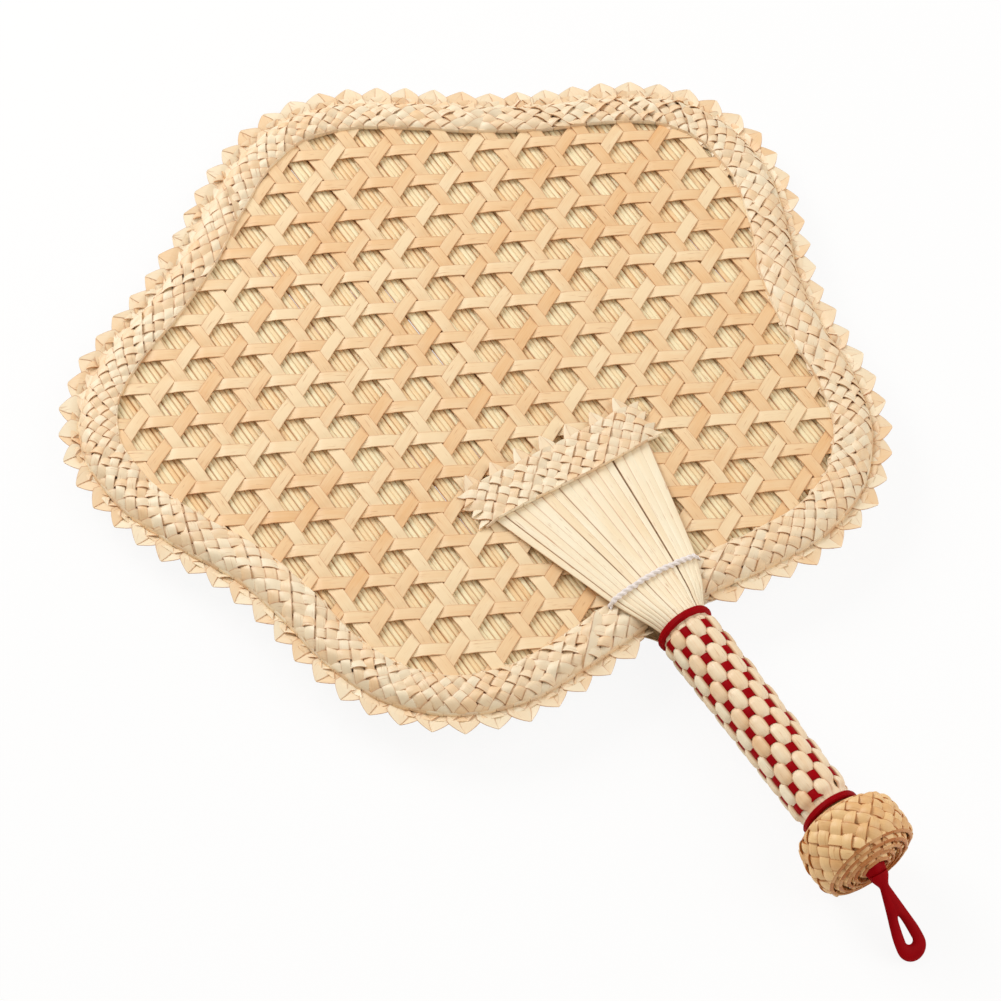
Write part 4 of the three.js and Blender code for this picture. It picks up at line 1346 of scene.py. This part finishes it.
class FAN_OT_loop(bpy.types.Operator):
    """Fold the red ribbon into the hanging loop and its root in the pommel"""

    bl_idname = "straw_fan.loop"
    bl_label = "Hanging loop"

    # The loop, from its pivot
    TABLE_GAP = 0.3 * MM
    ROOT_HALF = 3.5 * MM
    NECK_HALF = 1.75 * MM
    NECK = 4.5 * MM
    HIDDEN_START = -0.03
    ROOT_SWELL = 0.35
    STRAIGHT = 0.7
    LIMBS_LAP = 0.8
    LAP_LENGTH = 3 * MM
    EYE_HALF = 1.4 * MM
    EYE_START = 15.5 * MM
    EYE_END = 26 * MM
    LIMB_STATIONS = 60
    BEND_STATIONS = 14

    # Two places on its neck, from the pivot; the loop step works out points at them but does not use them
    BEND_START = 0.5 * MM
    BEND_END = -6 * MM

    # The root, along the handle
    ROOT_START = 225 * MM
    ROOT_END = 233 * MM
    ROOT_RADIUS = 4.3 * MM
    ROOT_WAIST = 0.4
    ROOT_NARROWING = 0.25
    ROOT_FLATTEN = 0.55
    ROOT_DROP = 1.15 * MM
    ROOT_STATIONS = 22
    ROOT_TURNS = 60
    PLEATS = 5
    PLEAT_DEPTH = 0.1

    def execute(self, context):
        sizes = context.scene.fan_handle
        self.root()
        self.loop(sizes)
        return {"FINISHED"}

    def loop_matrix(self, sizes):
        """From the loop's own plane, hanging along -Y from the pivot, to the frame."""
        pivot_height = frame["joints"][0]["pos_m"][2]
        tilt = math.asin(-frame["record"]["mounts"][0]["axis"][1])
        fall = pivot_height - self.TABLE_GAP - sizes.loop_thickness / 2
        droop = math.asin(fall / sizes.loop_length) + tilt
        at_pivot = LEAF @ Matrix.Translation((0, -LOOP_PIVOT, 0))
        return at_pivot @ Matrix.Rotation(droop, 4, "X")

    def loop_edges(self, sizes):
        """Inner and outer edge of the ribbon: down one limb, round the end and up the other."""
        widest = sizes.loop_width / 2
        round_start = sizes.loop_length - widest
        eye_round = self.EYE_END - self.EYE_HALF
        share = np.linspace(self.HIDDEN_START, 1, self.LIMB_STATIONS)

        def half_width(down):
            """Half the loop's width: gathered at the root, narrow at the neck, then steadily wider."""
            narrowing = (self.ROOT_HALF - self.NECK_HALF) * (1 - smooth_step(down / self.NECK))
            gone = np.clip((down - self.NECK) / (round_start - self.NECK), 0, 1)
            rest = 1 - self.STRAIGHT
            widened = (gone - np.maximum(0, gone - self.STRAIGHT) ** 2 / rest / 2) / (1 - rest / 2)
            return self.NECK_HALF + narrowing + (widest - self.NECK_HALF) * widened

        outer = np.column_stack([half_width(round_start * share), -round_start * share])
        inner_down = eye_round * share
        opening = (inner_down - self.EYE_START) / (eye_round - self.EYE_START)
        eye = self.EYE_HALF * np.sqrt(np.maximum(0, opening))
        lapped = smooth_step((self.EYE_START - inner_down) / self.LAP_LENGTH)
        lap = self.LIMBS_LAP * half_width(inner_down) * lapped
        inner = np.column_stack([eye - lap, -inner_down])
        turn = np.linspace(0, math.pi / 2, self.BEND_STATIONS)[1:]
        bend = np.column_stack([np.cos(turn), -np.sin(turn)])
        end_outer = widest * bend - [0, round_start]
        end_inner = self.EYE_HALF * bend - [0, eye_round]
        halves = [np.concatenate([inner, end_inner]), np.concatenate([outer, end_outer])]
        return [np.concatenate([half, (half * [-1, 1])[-2::-1]]) for half in halves]

    def loop(self, sizes):
        inner, outer = self.loop_edges(sizes)
        half = np.linalg.norm(outer - inner, axis=1) / 2

        def place(along, across, height):
            share = across / half
            spots = (inner + outer) / 2 + (outer - inner) / 2 * share[:, None]
            swell = 1 + self.ROOT_SWELL * (1 - smooth_step(-spots[:, 1] / self.NECK))
            return np.column_stack([spots, height * swell])

        strands = Strands(seed=220)
        section = round_section(sizes.loop_thickness / 2, level(0.0), smooth=True)
        strands.add(place, np.arange(len(inner)), half, **section)
        matrix = self.loop_matrix(sizes)
        piece = strands.make("loop_ribbon", "Red satin", ["hanging_loop"], matrix)
        start = matrix @ Vector((0, self.BEND_START, 0))
        end = matrix @ Vector((0, self.BEND_END, 0))
        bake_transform(piece)

    def root(self):
        """The gathered ribbon where it comes out of the pommel."""
        turns = np.linspace(0, 1, self.ROOT_TURNS, endpoint=False)
        share = np.linspace(0, 1, self.ROOT_STATIONS)
        distance = self.ROOT_START + (self.ROOT_END - self.ROOT_START) * share
        narrowing = smooth_step((share - self.ROOT_WAIST) / (1 - self.ROOT_WAIST))
        radius = self.ROOT_RADIUS * (1 - self.ROOT_NARROWING * narrowing)

        def line(turn):
            """The ribbon's points at one place round it: pleated, flattened and bent down at its end."""
            pleat = 1 + self.PLEAT_DEPTH * share * math.cos(2 * math.pi * self.PLEATS * turn)
            spots = grip_point(np.full(share.shape, turn), radius * pleat, distance)
            spots[:, 2] *= 1 - self.ROOT_FLATTEN * share**2
            spots[:, 2] -= self.ROOT_DROP * share**6
            return spots

        strands = Strands(seed=230)
        rings = np.stack([line(turn) for turn in turns], axis=1)
        strands.add_grain(rings, np.full(share.shape, 2 * np.pi * self.ROOT_RADIUS), turns, 0)
        strands.add_faces(rings, False)
        strands.build("loop_root_ribbon", "Red satin", ["loop_root"])


class FAN_OT_stage(bpy.types.Operator):
    """Set the camera, the pale floor and the soft studio light"""

    bl_idname = "straw_fan.stage"
    bl_label = "Stage"
    TARGET = Vector((-10.3, 0, 0)) * MM
    SHIFT = (0.0255, -0.0954)
    FLOOR_SIZE = 12
    FLOOR_ROUGHNESS = 0.9
    FLOOR_GLOSS = 0.1
    WHITE_SHARE = 0.9
    KEY_DIRECTION = Vector((-0.3, 0.95, 0.72))
    FILL_DIRECTION = Vector((0.75, -0.6, 0.9))
    KEY_SIZE = 0.9
    FILL_SIZE = 1.4
    LIGHT_DISTANCE = 1.6

    def execute(self, context):
        settings = context.scene.fan_stage
        context.scene.view_settings.view_transform = "Standard"
        self.camera(context, settings)
        self.floor(context, settings)
        self.sky(context, settings)
        self.lamp(context, "key_light", self.KEY_DIRECTION, settings.key_power, self.KEY_SIZE)
        self.lamp(context, "fill_light", self.FILL_DIRECTION, settings.fill_power, self.FILL_SIZE)
        return {"FINISHED"}

    def camera(self, context, settings):
        turn, height = settings.view_turn, settings.view_height
        flat = Vector((math.sin(turn), -math.cos(turn), 0)) * math.cos(height)
        toward = flat + Vector((0, 0, math.sin(height)))
        right = Vector((math.cos(turn), math.sin(turn), 0))
        up = toward.cross(right)
        place = Matrix((right, up, toward)).transposed().to_4x4()
        place.translation = self.TARGET + toward * settings.distance
        data = bpy.data.cameras.new("photo_camera")
        data.lens = settings.lens
        data.shift_x, data.shift_y = self.SHIFT
        camera = bpy.data.objects.new("photo_camera", data)
        context.collection.objects.link(camera)
        camera.matrix_world = LEAF @ place
        context.scene.camera = camera

    def floor(self, context, settings):
        reach = self.FLOOR_SIZE / 2
        corners = [(-reach, -reach, 0), (reach, -reach, 0), (reach, reach, 0), (-reach, reach, 0)]
        mesh = bpy.data.meshes.new("floor")
        mesh.from_pydata(corners, [], [(0, 1, 2, 3)])
        material, shader, start = new_finish("Pale floor")
        shader.inputs["Base Color"].default_value = opaque(settings.floor)
        shader.inputs["Roughness"].default_value = self.FLOOR_ROUGHNESS
        shader.inputs["Specular IOR Level"].default_value = self.FLOOR_GLOSS
        seen = start.node("ShaderNodeLightPath", {}, {}, "Is Camera Ray")
        white = start.node("ShaderNodeEmission", {}, {"Color": (1, 1, 1, 1), "Strength": 1.0})
        matte = Shade(material.node_tree, shader.outputs["BSDF"])
        shares = {"Fac": seen * self.WHITE_SHARE, "Shader": matte, "Shader_001": white}
        both = start.node("ShaderNodeMixShader", {}, shares)
        output = material.node_tree.nodes["Material Output"]
        material.node_tree.links.new(both.socket, output.inputs["Surface"])
        mesh.materials.append(material)
        floor = bpy.data.objects.new("floor", mesh)
        context.collection.objects.link(floor)

    def sky(self, context, settings):
        world = bpy.data.worlds.new("studio")
        world.use_nodes = True
        tree = world.node_tree
        start = Shade(tree)
        rays = start.node("ShaderNodeLightPath", {}, {}, "Is Camera Ray")
        strength = rays * (1 - settings.sky) + settings.sky
        background = tree.nodes["Background"]
        tint = start.mix(rays, opaque(settings.sky_tint), (1, 1, 1, 1))
        tree.links.new(tint.socket, background.inputs["Color"])
        tree.links.new(strength.socket, background.inputs["Strength"])
        context.scene.world = world

    def lamp(self, context, name, direction, power, size):
        data = bpy.data.lights.new(name, "AREA")
        data.energy = power
        data.size = size
        lamp = bpy.data.objects.new(name, data)
        context.collection.objects.link(lamp)
        lamp.location = direction.normalized() * self.LIGHT_DISTANCE
        lamp.rotation_euler = direction.to_track_quat("Z", "Y").to_euler()


OPERATORS = (
    FAN_OT_stage,
    FAN_OT_stems,
    FAN_OT_lattice,
    FAN_OT_borders,
    FAN_OT_splays,
    FAN_OT_root_braids,
    FAN_OT_threads,
    FAN_OT_grip,
    FAN_OT_pommel,
    FAN_OT_loop,
)


class FAN_PT_sidebar(bpy.types.Panel):
    """The fan's pieces, in the order in which they are made"""

    bl_idname = "FAN_PT_sidebar"
    bl_label = "Straw fan"
    bl_space_type = "VIEW_3D"
    bl_region_type = "UI"
    bl_category = "Straw fan"

    def draw(self, context):
        for operator in OPERATORS:
            self.layout.operator(operator.bl_idname)
        for group in GROUPS:
            settings = getattr(context.scene, group)
            for name in settings.__annotations__:
                self.layout.prop(settings, name)


GROUPS = {
    "fan_leaf": LeafSizes,
    "fan_handle": HandleSizes,
    "fan_colours": FinishColours,
    "fan_stage": StageSettings,
}


def register():
    for group, kind in GROUPS.items():
        bpy.utils.register_class(kind)
        setattr(bpy.types.Scene, group, PointerProperty(type=kind))
    for kind in (*OPERATORS, FAN_PT_sidebar):
        bpy.utils.register_class(kind)


def unregister():
    for kind in (*OPERATORS, FAN_PT_sidebar):
        bpy.utils.unregister_class(kind)
    for group, kind in GROUPS.items():
        delattr(bpy.types.Scene, group)
        bpy.utils.unregister_class(kind)


def main():
    register()
    bpy.ops.straw_fan.stage()
    bpy.ops.straw_fan.stems()
    bpy.ops.straw_fan.lattice()
    bpy.ops.straw_fan.borders()
    bpy.ops.straw_fan.splays()
    bpy.ops.straw_fan.root_braids()
    bpy.ops.straw_fan.threads()
    bpy.ops.straw_fan.grip()
    bpy.ops.straw_fan.pommel()
    bpy.ops.straw_fan.loop()


if __name__ == "__main__":
    main()
